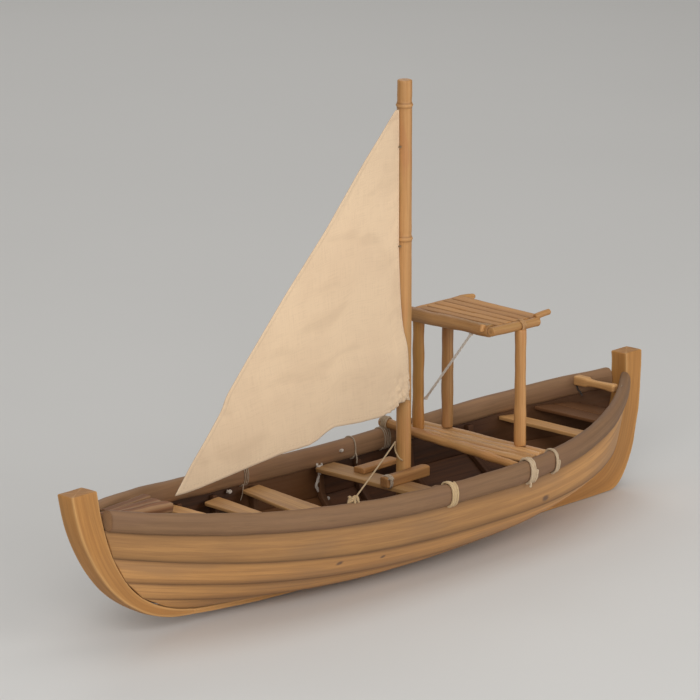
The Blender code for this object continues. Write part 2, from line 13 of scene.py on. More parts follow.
import bpy
import numpy as np
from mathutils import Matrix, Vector


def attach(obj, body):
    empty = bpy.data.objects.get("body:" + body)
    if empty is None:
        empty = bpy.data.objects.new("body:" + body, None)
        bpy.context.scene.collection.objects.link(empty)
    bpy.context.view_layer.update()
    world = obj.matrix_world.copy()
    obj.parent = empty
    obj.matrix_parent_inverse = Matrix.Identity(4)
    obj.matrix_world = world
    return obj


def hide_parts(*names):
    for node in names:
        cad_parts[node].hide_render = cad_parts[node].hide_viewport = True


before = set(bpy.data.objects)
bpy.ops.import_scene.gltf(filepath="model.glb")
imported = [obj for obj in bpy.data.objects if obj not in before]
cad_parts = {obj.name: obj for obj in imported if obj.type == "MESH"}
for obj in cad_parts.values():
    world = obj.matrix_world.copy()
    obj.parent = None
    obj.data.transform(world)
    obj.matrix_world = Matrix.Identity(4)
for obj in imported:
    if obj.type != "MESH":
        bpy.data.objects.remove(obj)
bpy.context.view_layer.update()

Array = np.ndarray
Colour = tuple[float, float, float]
Point = tuple[float, float, float]

LOG = logging.getLogger("boat")
TURN = 2 * math.pi
ALONG: Point = (1.0, 0.0, 0.0)
ACROSS: Point = (0.0, 1.0, 0.0)
UPWARD: Point = (0.0, 0.0, 1.0)
GAP = 0.0003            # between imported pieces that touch
ARC_POINTS = 4          # points of one rounded corner
END_STEPS = 3           # rings of a rounded end
END_RINGS = (0.72, 0.44, 0.16)
HALVINGS = 40           # steps of a search by halving


class Body(Enum):
    """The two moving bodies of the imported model."""

    HULL = "hull"
    RIG = "rig"


class Side(Enum):
    """A side of the boat; the value is the sign of y."""

    PORT = 1
    STARBOARD = -1

    @property
    def label(self) -> str:
        """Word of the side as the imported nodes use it."""
        return self.name.lower()


class GrainSource(Enum):
    """Where a wood finish reads its grain from."""

    SURFACE = "attributes of the piece"
    OBJECT_X = "object coordinates, grain along x"


class Val:
    """A shader socket that takes part in Python expressions."""

    def __init__(self, shader: "Shader", socket: Any) -> None:
        """Keeps the socket and the shader that its new nodes go into."""
        self.shader = shader
        self.socket = socket

    def __add__(self, other: Any) -> "Val":
        """Sum."""
        return self.shader.maths("ADD", self, other)

    def __mul__(self, other: Any) -> "Val":
        """Product."""
        return self.shader.maths("MULTIPLY", self, other)

    def __sub__(self, other: Any) -> "Val":
        """Difference."""
        return self.shader.maths("SUBTRACT", self, other)

    def __rsub__(self, other: Any) -> "Val":
        """Difference from a number."""
        return self.shader.maths("SUBTRACT", other, self)

    def __pow__(self, other: Any) -> "Val":
        """Power."""
        return self.shader.maths("POWER", self, other)

    __radd__, __rmul__ = __add__, __mul__

    def sin(self) -> "Val":
        """Sine."""
        return self.shader.maths("SINE", self)

    def between(self, low: float, high: float) -> "Val":
        """Soft step from 0 at low to 1 at high; high below low turns it round.

        Args:
            low: Value where the step starts.
            high: Value where the step ends.

        Returns:
            The step as a value from 0 to 1.
        """
        start, end = (low, high) if low < high else (high, low)
        made = self.shader.node("ShaderNodeMapRange", {"interpolation_type": "SMOOTHSTEP"},
                                Value=self, **{"From Min": start, "From Max": end})
        step = Val(self.shader, made.outputs[0])
        return step if low < high else 1 - step


@dataclass(frozen=True)
class Pattern:
    """A noise drawn out along a piece: features a metre across and along it, and the noise's own settings."""

    across: float
    along: float
    detail: float = 2.0
    roughness: float = 0.5
    distortion: float = 0.0


class Shader:
    """One material's node tree, with a Principled shader at its end."""

    def __init__(self, name: str, **constants: Any) -> None:
        """Makes the material and sets the shader's constant sockets.

        Args:
            name: Name of the material.
            constants: Values of the shader's sockets, with _ for a space in a name.
        """
        self.material = bpy.data.materials.new(name)
        self.material.use_nodes = True
        self.tree = self.material.node_tree
        self.tree.nodes.clear()
        sockets = {key.replace("_", " "): value for key, value in constants.items()}
        self.surface = self.node("ShaderNodeBsdfPrincipled", **sockets)
        self.node("ShaderNodeOutputMaterial", Surface=Val(self, self.surface.outputs[0]))

    def node(self, kind: str, settings: dict[str, Any] | None = None, **inputs: Any) -> Any:
        """Adds a node.

        Args:
            kind: Blender's name of the node type.
            settings: The node's own settings, set first.
            inputs: Values or links of its sockets by name, or by number as _0, _1 and so on.

        Returns:
            The new node.
        """
        made = self.tree.nodes.new(kind)
        for key, value in (settings or {}).items():
            setattr(made, key, value)
        for key, value in inputs.items():
            self.feed(made.inputs[int(key[1:]) if key.startswith("_") else key], value)
        return made

    def feed(self, socket: Any, value: Any) -> None:
        """Links a wrapped socket, or sets a plain value.

        Args:
            socket: The input to feed.
            value: A wrapped socket, a number or a tuple; a colour gets its alpha here.
        """
        if isinstance(value, Val):
            self.tree.links.new(value.socket, socket)
        elif isinstance(value, tuple) and len(value) == 3 and socket.type == "RGBA":
            socket.default_value = (*value, 1.0)
        else:
            socket.default_value = value

    def maths(self, operation: str, *values: Any) -> Val:
        """One Math node on values or numbers."""
        inputs = {f"_{number}": value for number, value in enumerate(values)}
        return Val(self, self.node("ShaderNodeMath", {"operation": operation}, **inputs).outputs[0])

    def vector(self, x: Any, y: Any, z: Any) -> Val:
        """A vector from three values."""
        return Val(self, self.node("ShaderNodeCombineXYZ", X=x, Y=y, Z=z).outputs[0])

    def split(self, vector: Val) -> tuple[Val, Val, Val]:
        """The three values of a vector."""
        x, y, z = self.node("ShaderNodeSeparateXYZ", Vector=vector).outputs
        return Val(self, x), Val(self, y), Val(self, z)

    def reach(self, vector: Val, centre: Point, sizes: Point) -> Val:
        """Distance of a vector from a centre, measured in sizes along each axis.

        Args:
            vector: The place.
            centre: The centre.
            sizes: The length of one unit along x, y and z.

        Returns:
            The distance in those units.
        """
        away = self.node("ShaderNodeVectorMath", {"operation": "SUBTRACT"}, _0=vector, _1=centre)
        scaled = self.node("ShaderNodeVectorMath", {"operation": "DIVIDE"},
                           _0=Val(self, away.outputs[0]), _1=sizes)
        made = self.node("ShaderNodeVectorMath", {"operation": "LENGTH"}, _0=Val(self, scaled.outputs[0]))
        return Val(self, made.outputs["Value"])

    def noise(self, vector: Val, detail: float = 2.0, roughness: float = 0.5, distortion: float = 0.0) -> Val:
        """Noise of about one feature per unit of the vector.

        Args:
            vector: The place.
            detail: Number of finer layers.
            roughness: Weight of the finer layers.
            distortion: How far the noise is bent.

        Returns:
            A value from 0 to 1.
        """
        made = self.node("ShaderNodeTexNoise", Vector=vector, Scale=1.0, Detail=detail, Roughness=roughness,
                         Distortion=distortion)
        return Val(self, made.outputs[0])

    def drawn(self, pattern: Pattern, a: Any, b: Any, v: Any, shift: Any) -> Val:
        """Noise that is long along a piece and narrow across it."""
        place = self.vector(a * pattern.across, b * pattern.across, v * pattern.along + shift)
        return self.noise(place, pattern.detail, pattern.roughness, pattern.distortion)

    def mix(self, share: Any, one: Any, other: Any) -> Val:
        """Colour between one at share 0 and other at share 1."""
        made = self.node("ShaderNodeMix", {"data_type": "RGBA"}, _0=share, _6=one, _7=other)
        return Val(self, made.outputs[2])

    def coated(self, colour: Any, coats: Sequence[tuple[Any, Any]]) -> Val:
        """A colour under coats laid on in order, each a share and a colour."""
        return functools.reduce(lambda under, coat: self.mix(coat[0], under, coat[1]), coats, colour)

    def brighten(self, colour: Any, factor: Any) -> Val:
        """Colour times a factor."""
        made = self.node("ShaderNodeVectorMath", {"operation": "SCALE"}, _0=colour, Scale=factor)
        return Val(self, made.outputs[0])

    def attribute(self, name: str) -> Val:
        """An attribute of the piece: a vector, or the one value "inward"."""
        output = "Fac" if name == "inward" else "Vector"
        return Val(self, self.node("ShaderNodeAttribute", {"attribute_name": name}).outputs[output])

    def place(self, output: str = "Object") -> Val:
        """Object or UV coordinates of the piece."""
        return Val(self, self.node("ShaderNodeTexCoord").outputs[output])

    def finish(self, colour: Val, roughness: Val, height: Val) -> bpy.types.Material:
        """Feeds what varies to the shader.

        Args:
            colour: Base colour.
            roughness: Roughness.
            height: Height of the surface's relief in metres.

        Returns:
            The finished material.
        """
        bump = self.node("ShaderNodeBump", Strength=1.0, Distance=1.0, Height=height)
        self.feed(self.surface.inputs["Base Color"], colour)
        self.feed(self.surface.inputs["Roughness"], roughness)
        self.feed(self.surface.inputs["Normal"], Val(self, bump.outputs[0]))
        return self.material


@dataclass(frozen=True)
class Wood:
    """Sawn and worn wood: growth lines, fibres, streaks, stains, knots, worn edges and end grain, with painted
    light and shade.
    """

    name: str
    pale: Colour
    middle: Colour
    deep: Colour
    stain: Colour
    stain_share: float = 0.5
    edge_share: float = 0.5
    end_share: float = 0.4
    line_pitch: float = 0.0035
    line_share: float = 0.35
    tone_spread: float = 0.22
    roughness: float = 0.62
    relief: float = 0.00016
    source: GrainSource = GrainSource.SURFACE
    # edge colour: pale for wear, on the posts partly painted highlight; dark for painted shade along seams and
    # gaps
    edge_colour: Colour | None = None
    end_colour: Colour | None = None
    # dark painted shade for the faces inside the hull: two colours mixed by a streak noise
    inner: tuple[Colour, Colour] | None = None
    # painted light in two bays inside the hull (share before the mast, share at the stern), and its colour
    # below
    lit_bays: tuple[float, float] = (0.0, 0.0)
    bay_light_colour: Colour = (0.175, 0.07, 0.02)
    # painted light: how much the colour brightens towards the stern, over the reach below
    painted_aft_light: float = 0.0
    aft_reach: tuple[float, float] = (-0.04, -0.3)
    knots: tuple[Point, ...] = ()
    knot_colour: Colour = (0.07, 0.045, 0.04)
    knot_y: float = 0.09
    ring_pitch: float = 0.0016
    fibre: Pattern = Pattern(1100, 26, 3.0, 0.6)
    streak: Pattern = Pattern(210, 6, 3.0, 0.55, 0.4)
    cloud: Pattern = Pattern(34, 9)
    bend: Pattern = Pattern(24, 5, 1.0)

    def material(self) -> bpy.types.Material:
        """Builds the material.

        Across the board the pattern changes fast and along it slowly: every noise reads the board's own
        grain coordinates, far more tightly across than along. Growth lines are sine waves of the distance
        across, bent by a slow noise. Stains are a soft step of a broad noise, and knots are soft spots at
        given places. A pale edge colour is wear, partly painted highlight; a dark one is painted shade along
        seams and gaps. Faces inside the hull get painted shade, and painted light in two bays; painted light
        also brightens the stern.

        Returns:
            The finished material.
        """
        shader = Shader(self.name, IOR=1.45)
        place = shader.place()
        if self.source is GrainSource.SURFACE:
            a, b, v = shader.split(shader.attribute("grain"))
            tone, end, edge = shader.split(shader.attribute("traits"))
        else:
            v, a, b = shader.split(place)
            tone, end, edge = 0.5, 0.0, 0.0
        shift = tone * 61.0
        fibre, streak, cloud, bend = (shader.drawn(pattern, a, b, v, shift)
                                      for pattern in (self.fibre, self.streak, self.cloud, self.bend))
        line = ((a * 0.9 + b * 0.7 + bend * 0.018) * (TURN / self.line_pitch)).sin() * 0.5 + 0.5
        rings = line
        if self.source is GrainSource.SURFACE:
            heart = ((a + 0.004) ** 2 + (b - 0.006) ** 2) ** 0.5
            rings = (heart * (TURN / self.ring_pitch)).sin() * 0.5 + 0.5
        coats = [(streak.between(0.36, 0.66), self.middle),
                 (line.between(0.55, 1.0) * (cloud.between(0.35, 0.7) * self.line_share), self.deep),
                 (fibre.between(0.5, 0.3) * 0.34, self.deep),
                 (cloud.between(0.47, 0.68) * self.stain_share, self.stain),
                 # edges: pale wear, partly painted highlight on the posts; dark painted shade along seams and
                 # gaps
                 (edge * (fibre * 0.6 + 0.55) * self.edge_share, self.edge_colour or self.pale),
                 (end * (rings * 0.4 + 0.4) * self.end_share, self.end_colour or self.deep)]
        for x, z, radius in self.knots:
            away = shader.reach(place, (x, self.knot_y, z), (radius * 1.7, 1.0, radius))
            coats.append(((away + fibre * 0.35).between(1.25, 0.45) * 0.75, self.knot_colour))
        colour = shader.coated(self.pale, coats)
        # painted light: the colour is brightened towards the stern
        if self.painted_aft_light:
            aft = shader.split(place)[0].between(*self.aft_reach)
            colour = shader.brighten(colour, aft * self.painted_aft_light + 1.0)
        # painted shade: faces inside the hull take two dark colours mixed by a streak noise
        painted_shade_and_light = shader.mix(streak.between(0.35, 0.65), *self.inner) if self.inner else colour
        if any(self.lit_bays):
            # painted light in two bays inside the hull, by soft steps of x: before the mast and at the stern
            x = shader.split(place)[0]
            waist, stern = self.lit_bays
            share = x.between(-0.05, 0.0) * x.between(0.11, 0.07) * waist + x.between(-0.24, -0.28) * stern
            painted_shade_and_light = shader.mix(share, painted_shade_and_light, self.bay_light_colour)
        colour = shader.mix(shader.attribute("inward"), colour, painted_shade_and_light) if self.inner else painted_shade_and_light
        colour = shader.brighten(colour, (tone - 0.5) * self.tone_spread + 1.0)
        height = fibre * (self.relief * 0.6) + streak * self.relief + line * (self.relief * 0.35)
        return shader.finish(colour, fibre * 0.16 + (self.roughness - 0.08), height)


@dataclass(frozen=True)
class Cane:
    """Peeled cane: long fine fibres, blotches, pale joints with a dark rim, partly painted highlight, open
    end.
    """

    name: str
    pale: Colour
    middle: Colour
    deep: Colour
    blush: Colour
    cool_and_highlight: Colour
    roughness: float = 0.5
    fibre: Pattern = Pattern(1700, 14, 3.0, 0.6)
    streak: Pattern = Pattern(330, 5, 2.0, 0.5, 0.3)
    blotch: Pattern = Pattern(70, 17, 2.0, 0.55)
    far: Pattern = Pattern(90, 8, 1.0)

    def material(self) -> bpy.types.Material:
        """Builds the material.

        Fibres are noise drawn out along the pole. One broad noise adds reddish blotches and another cooler
        ones, which on the platform strips are whitish painted highlights. The joint mask of the pole makes a
        pale ring, partly painted highlight on the joint's ridge, with a darker line beside it.

        Returns:
            The finished material.
        """
        shader = Shader(self.name, IOR=1.47)
        a, b, v = shader.split(shader.attribute("grain"))
        tone, end, joint = shader.split(shader.attribute("traits"))
        shift = tone * 83.0
        fibre, streak, blotch = (shader.drawn(pattern, a, b, v, shift)
                                 for pattern in (self.fibre, self.streak, self.blotch))
        far = shader.drawn(self.far, a, b, v, -1 * shift)
        rim = joint.between(0.04, 0.2) * joint.between(0.6, 0.25)
        pith = ((a ** 2 + b ** 2) ** 0.5).between(0.0026, 0.0008)
        coats = ((streak.between(0.34, 0.66), self.middle), (fibre.between(0.52, 0.32) * 0.38, self.deep),
                 # the cooler blotch colour is, on the platform strips, a painted highlight
                 (blotch.between(0.5, 0.7) * 0.45, self.blush), (far.between(0.55, 0.72) * 0.4, self.cool_and_highlight),
                 # the pale joint ring is partly painted highlight on the joint's ridge
                 (joint.between(0.35, 0.9) * 0.75, self.pale), (rim * 0.55, self.deep),
                 (end * 0.75, self.pale), (end * pith * 0.55, self.deep))
        colour = shader.brighten(shader.coated(self.pale, coats), (tone - 0.5) * 0.24 + 1.0)
        height = fibre * 0.00012 + streak * 0.0001 + joint * 0.00015
        return shader.finish(colour, fibre * 0.18 + (self.roughness - 0.08), height)


@dataclass(frozen=True)
class SailCloth:
    """Unbleached plain-woven cloth with a stitched edge and soft stains, painted shade in the crumpled
    corner's folds and painted shading up the cloth.
    """

    name: str
    pale: Colour
    shade: Colour
    stain: Colour
    thread: float = 0.0008
    hem: float = 0.0045
    stitch: float = 0.0042

    def material(self) -> bpy.types.Material:
        """Builds the material.

        The weave is the product of two sine waves of the flat cloth's own coordinates, made uneven by noise
        that is drawn out along each thread. The distance to the nearest edge draws the hem and its stitches.

        Returns:
            The finished material.
        """
        shader = Shader(self.name, Sheen_Weight=0.25, Sheen_Roughness=0.5)
        u, v, _ = shader.split(shader.place("UV"))
        rim, crumple, _ = shader.split(shader.attribute("traits"))
        wave = TURN / self.thread
        warp = shader.noise(shader.vector(u * 900, v * 45, 0.0))
        weft = shader.noise(shader.vector(u * 45, v * 900, 7.0))
        weave = (u * wave).sin() * (v * wave).sin() * 0.5 + 0.5
        cloud = shader.noise(shader.vector(u * 16, v * 16, 3.0), 3.0, 0.55)
        band = shader.noise(shader.vector(u * 14 + v * 26, v * 30 - u * 9, 5.0), 2.0, 0.5, 0.5)
        seam = rim.between(self.hem * 1.18, self.hem * 1.02) * rim.between(self.hem * 0.8, self.hem * 0.94)
        dash = ((u + v) * (TURN / self.stitch)).sin().between(-0.25, 0.25)
        coats = ((cloud.between(0.36, 0.68) * 0.55, self.shade),
                 (band.between(0.52, 0.72) * 0.28, self.stain),
                 ((warp * 0.5 + weft * 0.5).between(0.52, 0.38) * 0.22, self.stain),
                 (weave.between(0.35, 0.05) * 0.1, self.stain), (seam * dash * 0.35, self.stain),
                 (rim.between(0.0022, 0.0) * 0.35, self.pale),
                 # painted shade in the folds of the crumpled corner
                 (crumple * cloud.between(0.4, 0.62) * 0.35, self.stain))
        # painted shading: the cloth is darkest at the foot, brightest about 0.17 m up and a little darker
        # above 0.27 m
        light = v.between(-0.02, 0.17) * 0.12 - v.between(0.18, 0.27) * 0.08 + 0.865
        colour = shader.brighten(shader.coated(self.pale, coats), light)
        fold = shader.noise(shader.vector(u * 60, v * 22, 9.0))
        turned = rim.between(self.hem * 1.1, self.hem)
        height = weave * 0.00004 + warp * 0.00006 + weft * 0.00006 + turned * 0.00025 + fold * 0.00012
        return shader.finish(colour, warp * 0.08 + 0.82, height)


@dataclass(frozen=True)
class Twine:
    """Twisted plant fibre, with fine hairs along its turning strands."""

    name: str
    pale: Colour
    deep: Colour
    stain: Colour
    hair: Pattern = Pattern(4200, 260, 2.0, 0.6)
    spot: Pattern = Pattern(120, 110)

    def material(self) -> bpy.types.Material:
        """Builds the material: fibres follow the twist, and the grooves between strands get painted shade.

        Returns:
            The finished material.
        """
        shader = Shader(self.name, Sheen_Weight=0.15)
        a, b, v = shader.split(shader.attribute("grain"))
        tone, _, groove = shader.split(shader.attribute("traits"))
        hair = shader.drawn(self.hair, a, b, v, tone * 31)
        spot = shader.drawn(self.spot, a, b, v, tone * 17)
        # the groove coat is painted shade between the strands
        coats = ((hair.between(0.55, 0.34) * 0.45, self.deep), (spot.between(0.48, 0.7) * 0.45, self.stain),
                 (groove * 0.5, self.deep))
        colour = shader.brighten(shader.coated(self.pale, coats), (tone - 0.5) * 0.2 + 1.0)
        return shader.finish(colour, hair * 0.1 + 0.8, hair * 0.00008)


@dataclass(frozen=True)
class StudioFloor:
    """Smooth pale floor paint with a faint mottle."""

    name: str = "pale_floor"
    colour: Colour = (0.74, 0.73, 0.71)

    def material(self) -> bpy.types.Material:
        """Builds the material: one pale colour under a very faint cloud.

        Returns:
            The finished material.
        """
        shader = Shader(self.name)
        x, y, z = shader.split(shader.place())
        cloud = shader.noise(shader.vector(x * 3, y * 3, z * 3), 3.0)
        colour = shader.brighten(self.colour, cloud * 0.03 + 0.985)
        return shader.finish(colour, cloud * 0.05 + 0.75, cloud * 0.0001)


# posts and keel: the pale edge colour is wear and partly painted highlight
POST_WOOD = Wood("post_wood", (0.48, 0.223, 0.058), (0.403, 0.179, 0.044), (0.257, 0.108, 0.027),
                 (0.368, 0.183, 0.057), stain_share=0.35, edge_share=0.6, edge_colour=(0.651, 0.373, 0.144),
                 line_pitch=0.0042, tone_spread=0.0)
# hull planks: the dark edge colour is painted shade along the seams, the inner colours are painted shade
# inside the hull, and the bays and the aft factor are painted light
HULL_WOOD = Wood("hull_wood", (0.516, 0.265, 0.092), (0.408, 0.205, 0.074), (0.24, 0.12, 0.044),
                 (0.348, 0.19, 0.085), stain_share=0.55, edge_share=0.85, edge_colour=(0.118, 0.056, 0.022),
                 line_pitch=0.0052, line_share=0.3, inner=((0.09, 0.031, 0.009), (0.053, 0.0185, 0.0056)),
                 lit_bays=(0.85, 0.6), painted_aft_light=0.36,
                 knots=((0.121, 0.045, 0.003), (0.066, 0.04, 0.0024), (-0.157, 0.0505, 0.004)))
RAIL_WOOD = Wood("rail_wood", (0.254, 0.139, 0.067), (0.202, 0.108, 0.051), (0.113, 0.06, 0.029),
                 (0.216, 0.114, 0.064), edge_share=0.4, line_pitch=0.006, line_share=0.25, tone_spread=0.2,
                 roughness=0.7, relief=0.00012, end_share=0.6, end_colour=(0.42, 0.26, 0.13))
# timbers inside the hull: their dark colour is painted shade, and the bays are painted light
SHADED_INNER_WOOD = Wood("inner_wood", (0.1, 0.036, 0.011), (0.071, 0.025, 0.0075), (0.036, 0.013, 0.0045),
                  (0.085, 0.033, 0.013), stain_share=0.6, line_share=0.4, roughness=0.74,
                  lit_bays=(0.6, 0.45), bay_light_colour=(0.15, 0.066, 0.021))
# the mast step: the same dark painted shade as the timbers inside the hull
SHADED_STEP_WOOD = Wood("shaded_step_wood", (0.1, 0.04, 0.014), (0.071, 0.028, 0.01), (0.036, 0.015, 0.006),
                 (0.085, 0.036, 0.016), source=GrainSource.OBJECT_X, roughness=0.74)
BOARD_WOOD = Wood("board_wood", (0.378, 0.178, 0.053), (0.305, 0.135, 0.038), (0.174, 0.073, 0.022),
                  (0.262, 0.124, 0.047), line_pitch=0.0036, line_share=0.45, tone_spread=0.1)
SEAT_WOOD = Wood("seat_wood", (0.624, 0.338, 0.124), (0.504, 0.256, 0.09), (0.288, 0.138, 0.053),
                 (0.432, 0.235, 0.112), stain_share=0.55, line_pitch=0.0036, line_share=0.45, tone_spread=0.3)
# roof slats: the dark edge colour is painted shade in the gaps between slats
SLAT_WOOD = Wood("slat_wood", (0.54, 0.268, 0.087), (0.432, 0.2, 0.062), (0.248, 0.108, 0.034),
                 (0.367, 0.192, 0.073), stain_share=0.45, edge_share=0.45, edge_colour=(0.14, 0.063, 0.022),
                 line_pitch=0.003, tone_spread=0.35)
DECK_WOOD = Wood("deck_wood", (0.235, 0.092, 0.03), (0.177, 0.066, 0.022), (0.08, 0.031, 0.011),
                 (0.182, 0.074, 0.031), edge_share=0.6, edge_colour=(0.4, 0.24, 0.12), line_pitch=0.0034,
                 line_share=1.0, tone_spread=0.3, roughness=0.7, relief=0.0004, end_share=0.9,
                 end_colour=(0.52, 0.34, 0.18))
CANE = Cane("cane", (0.549, 0.281, 0.1), (0.451, 0.215, 0.066), (0.255, 0.113, 0.034), (0.451, 0.187, 0.068),
            (0.372, 0.226, 0.074))
WARM_CANE = Cane("warm_cane", (0.549, 0.264, 0.068), (0.451, 0.202, 0.045), (0.255, 0.106, 0.024),
                 (0.451, 0.176, 0.047), (0.372, 0.212, 0.05))
# platform strips: the whitish fifth colour paints highlights on the strips
STRIP_CANE = Cane("strip_cane", (0.64, 0.36, 0.148), (0.512, 0.27, 0.104), (0.225, 0.11, 0.044),
                  (0.46, 0.215, 0.094), (0.62, 0.44, 0.26))
SAIL_CLOTH = SailCloth("sail_cloth", (0.827, 0.608, 0.395), (0.742, 0.532, 0.344), (0.594, 0.408, 0.252))
CREAM_TWINE = Twine("cream_twine", (0.58, 0.42, 0.23), (0.32, 0.2, 0.095), (0.46, 0.31, 0.155))
WHITE_TWINE = Twine("white_twine", (0.7, 0.62, 0.53), (0.38, 0.32, 0.26), (0.54, 0.46, 0.38))
PALE_TWINE = Twine("pale_twine", (0.48, 0.37, 0.26), (0.25, 0.18, 0.12), (0.37, 0.28, 0.2))
TAN_TWINE = Twine("tan_twine", (0.55, 0.42, 0.27), (0.3, 0.2, 0.12), (0.44, 0.31, 0.19))
CANE_TWINE = Twine("cane_twine", (0.52, 0.29, 0.12), (0.3, 0.155, 0.06), (0.42, 0.235, 0.1))
GUY_TWINE = Twine("guy_twine", (0.48, 0.33, 0.17), (0.27, 0.175, 0.08), (0.39, 0.26, 0.13))
DARK_TWINE = Twine("dark_twine", (0.05, 0.036, 0.026), (0.02, 0.015, 0.012), (0.036, 0.026, 0.02))
DULL_TWINE = Twine("dull_twine", (0.26, 0.18, 0.09), (0.12, 0.075, 0.04), (0.2, 0.15, 0.07))

Finish = Wood | Cane | SailCloth | Twine | StudioFloor


@functools.cache
def dressed(finish: Finish) -> bpy.types.Material:
    """The finish's material, built once."""
    return finish.material()


def wander(points: Array, seed: int, size: float) -> Array:
    """Smooth seeded waviness, about -1 to 1: the mean of six sine waves in random directions.

    Args:
        points: Places, with x, y and z in the last axis.
        seed: Seed of the directions and phases.
        size: Rough length of one wave, in metres.

    Returns:
        One value for each place.
    """
    random = np.random.default_rng(seed)
    waves = random.normal(size=(3, 6)) * (3.6 / size)
    phases = random.uniform(0.0, TURN, 6)
    return np.sin(points @ waves + phases).mean(axis=-1) * 1.7


def unit(vectors: Array) -> Array:
    """Vectors of length one."""
    return vectors / np.maximum(np.linalg.norm(vectors, axis=-1, keepdims=True), 1e-12)


def travelled(path: Array) -> Array:
    """Distance along a path at each of its points."""
    return np.concatenate([[0.0], np.cumsum(np.linalg.norm(np.diff(path, axis=0), axis=1))])


def resample(rings: Array, step: float) -> Array:
    """Rings set evenly along their way, each point on the straight line between its neighbours.

    Args:
        rings: Rings in order.
        step: Rough distance between the new rings.

    Returns:
        The new rings.
    """
    along = travelled(rings.mean(axis=1))
    count = max(3, int(round(along[-1] / step)) + 1)
    wanted = np.linspace(0.0, along[-1], count)
    low = np.clip(np.searchsorted(along, wanted, side="right") - 1, 0, len(along) - 2)
    share = (wanted - along[low]) / np.maximum(along[low + 1] - along[low], 1e-9)
    share = share[:, None, None]
    return rings[low] * (1 - share) + rings[low + 1] * share


def through(points: Sequence[Point], step: float = 0.0006) -> Array:
    """A smooth path through points: on each stretch a cubic whose slope at a point joins its neighbours.

    Args:
        points: The points.
        step: Rough distance between the path's points.

    Returns:
        The path.
    """
    knots = np.array(points, float)
    padded = np.concatenate([2 * knots[:1] - knots[1:2], knots, 2 * knots[-1:] - knots[-2:-1]])
    count = max(8, int(travelled(knots)[-1] / step))
    at = np.linspace(0.0, len(knots) - 1 - 1e-9, count)
    low = at.astype(int)
    t = (at - low)[:, None]
    a, b, c, d = (padded[low + k] for k in range(4))
    square, cube = 2 * a - 5 * b + 4 * c - d, 3 * b - a - 3 * c + d
    return 0.5 * (2 * b + (c - a) * t + square * t ** 2 + cube * t ** 3)


def rounded(corners: Array, soft: float, mids: tuple[int, int],
            crown: Sequence[float], fade: float) -> tuple[Array, Array]:
    """Sections with four rounded corners and crowned sides.

    At a corner the outline follows the quadratic curve that the corner pulls; between two corners it is
    straight, plus crown times 4 t (1 - t) outwards.

    Args:
        corners: Corner points, sections by four by three.
        soft: Length cut from each side at a corner.
        mids: Points inside the first and third side, and inside the second and fourth.
        crown: Height of the crown of each side.
        fade: Distance over which the edge mask falls away from a corner.

    Returns:
        The outlines, and for each of their points the edge mask: 1 on a corner, less by e for each fade away.
    """
    runs = np.roll(corners, -1, axis=1) - corners
    lengths = np.linalg.norm(runs, axis=-1, keepdims=True)
    cut = np.minimum(soft, 0.45 * np.minimum(lengths, np.roll(lengths, 1, axis=1)))
    leave = corners + unit(runs) * cut
    reach = corners - np.roll(unit(runs), 1, axis=1) * cut
    middle = corners.mean(axis=1, keepdims=True)
    parts, edge = [], []
    for k in range(4):
        t = np.linspace(0.0, 1.0, ARC_POINTS)[None, :, None]
        start, corner, end = reach[:, k:k + 1], corners[:, k:k + 1], leave[:, k:k + 1]
        parts.append((1 - t) ** 2 * start + 2 * t * (1 - t) * corner + t ** 2 * end)
        edge.append(np.ones((len(corners), ARC_POINTS)))
        count = mids[k % 2]
        t = (0.5 - 0.5 * np.cos(np.linspace(0.0, math.pi, count + 2)[1:-1]))[None, :, None]
        after = reach[:, (k + 1) % 4][:, None]
        outward = unit((end + after) / 2 - middle)
        parts.append(end + (after - end) * t + outward * crown[k] * 4 * t * (1 - t))
        width = np.linalg.norm(after - end, axis=-1)
        edge.append(np.exp(-np.minimum(t, 1 - t)[..., 0] * width / fade))
    return np.concatenate(parts, axis=1), np.concatenate(edge, axis=1)


def closed_end(ring: Array, inner: Array, soft: float) -> Array:
    """The rings of one end.

    A ring of the rounded edge is the end ring drawn to its middle by soft (1 - cos a), and pulled back along
    the piece by soft (1 - sin a). The end face is smaller and smaller copies of the last one.

    Args:
        ring: The piece's last ring.
        inner: The ring before it.
        soft: Radius of the rounded edge.

    Returns:
        The new rings, outwards.
    """
    middle = ring.mean(axis=0)
    away = unit(middle - inner.mean(axis=0))
    spread = ring - middle
    length = np.linalg.norm(spread, axis=-1, keepdims=True)
    made = []
    for a in np.linspace(0.0, math.pi / 2, END_STEPS + 1):
        drawn = spread * (1 - np.minimum(soft * (1 - math.cos(a)), 0.5 * length) / length)
        made.append(middle + drawn - away * soft * (1 - math.sin(a)))
    face = made[-1] - middle
    return np.array(made + [middle + face * share for share in END_RINGS])


def closed(rings: Array, soft: float) -> tuple[Array, Array]:
    """Adds a rounded edge and an end face to both ends.

    Args:
        rings: Rings in order.
        soft: Radius of the rounded edge.

    Returns:
        All rings, and for each ring 1 on an end face and 0 elsewhere.
    """
    first = closed_end(rings[0], rings[1], soft)[::-1]
    last = closed_end(rings[-1], rings[-2], soft)
    face = np.concatenate([np.zeros(END_STEPS), [0.6], np.ones(len(END_RINGS))])
    mask = np.concatenate([face[::-1], np.zeros(len(rings) - 2), face])
    return np.concatenate([first, rings[1:-1], last]), mask


def framed(path: Array, up: Point | Array) -> tuple[Array, Array]:
    """Sideways and upward directions along a path, square to it.

    Args:
        path: Points of the path.
        up: The direction that the upward ones keep as near to as can be.

    Returns:
        The sideways and the upward direction at each point.
    """
    along = unit(np.gradient(path, axis=0))
    side = unit(np.cross(along, np.broadcast_to(np.array(up, float), path.shape)))
    return side, np.cross(side, along)


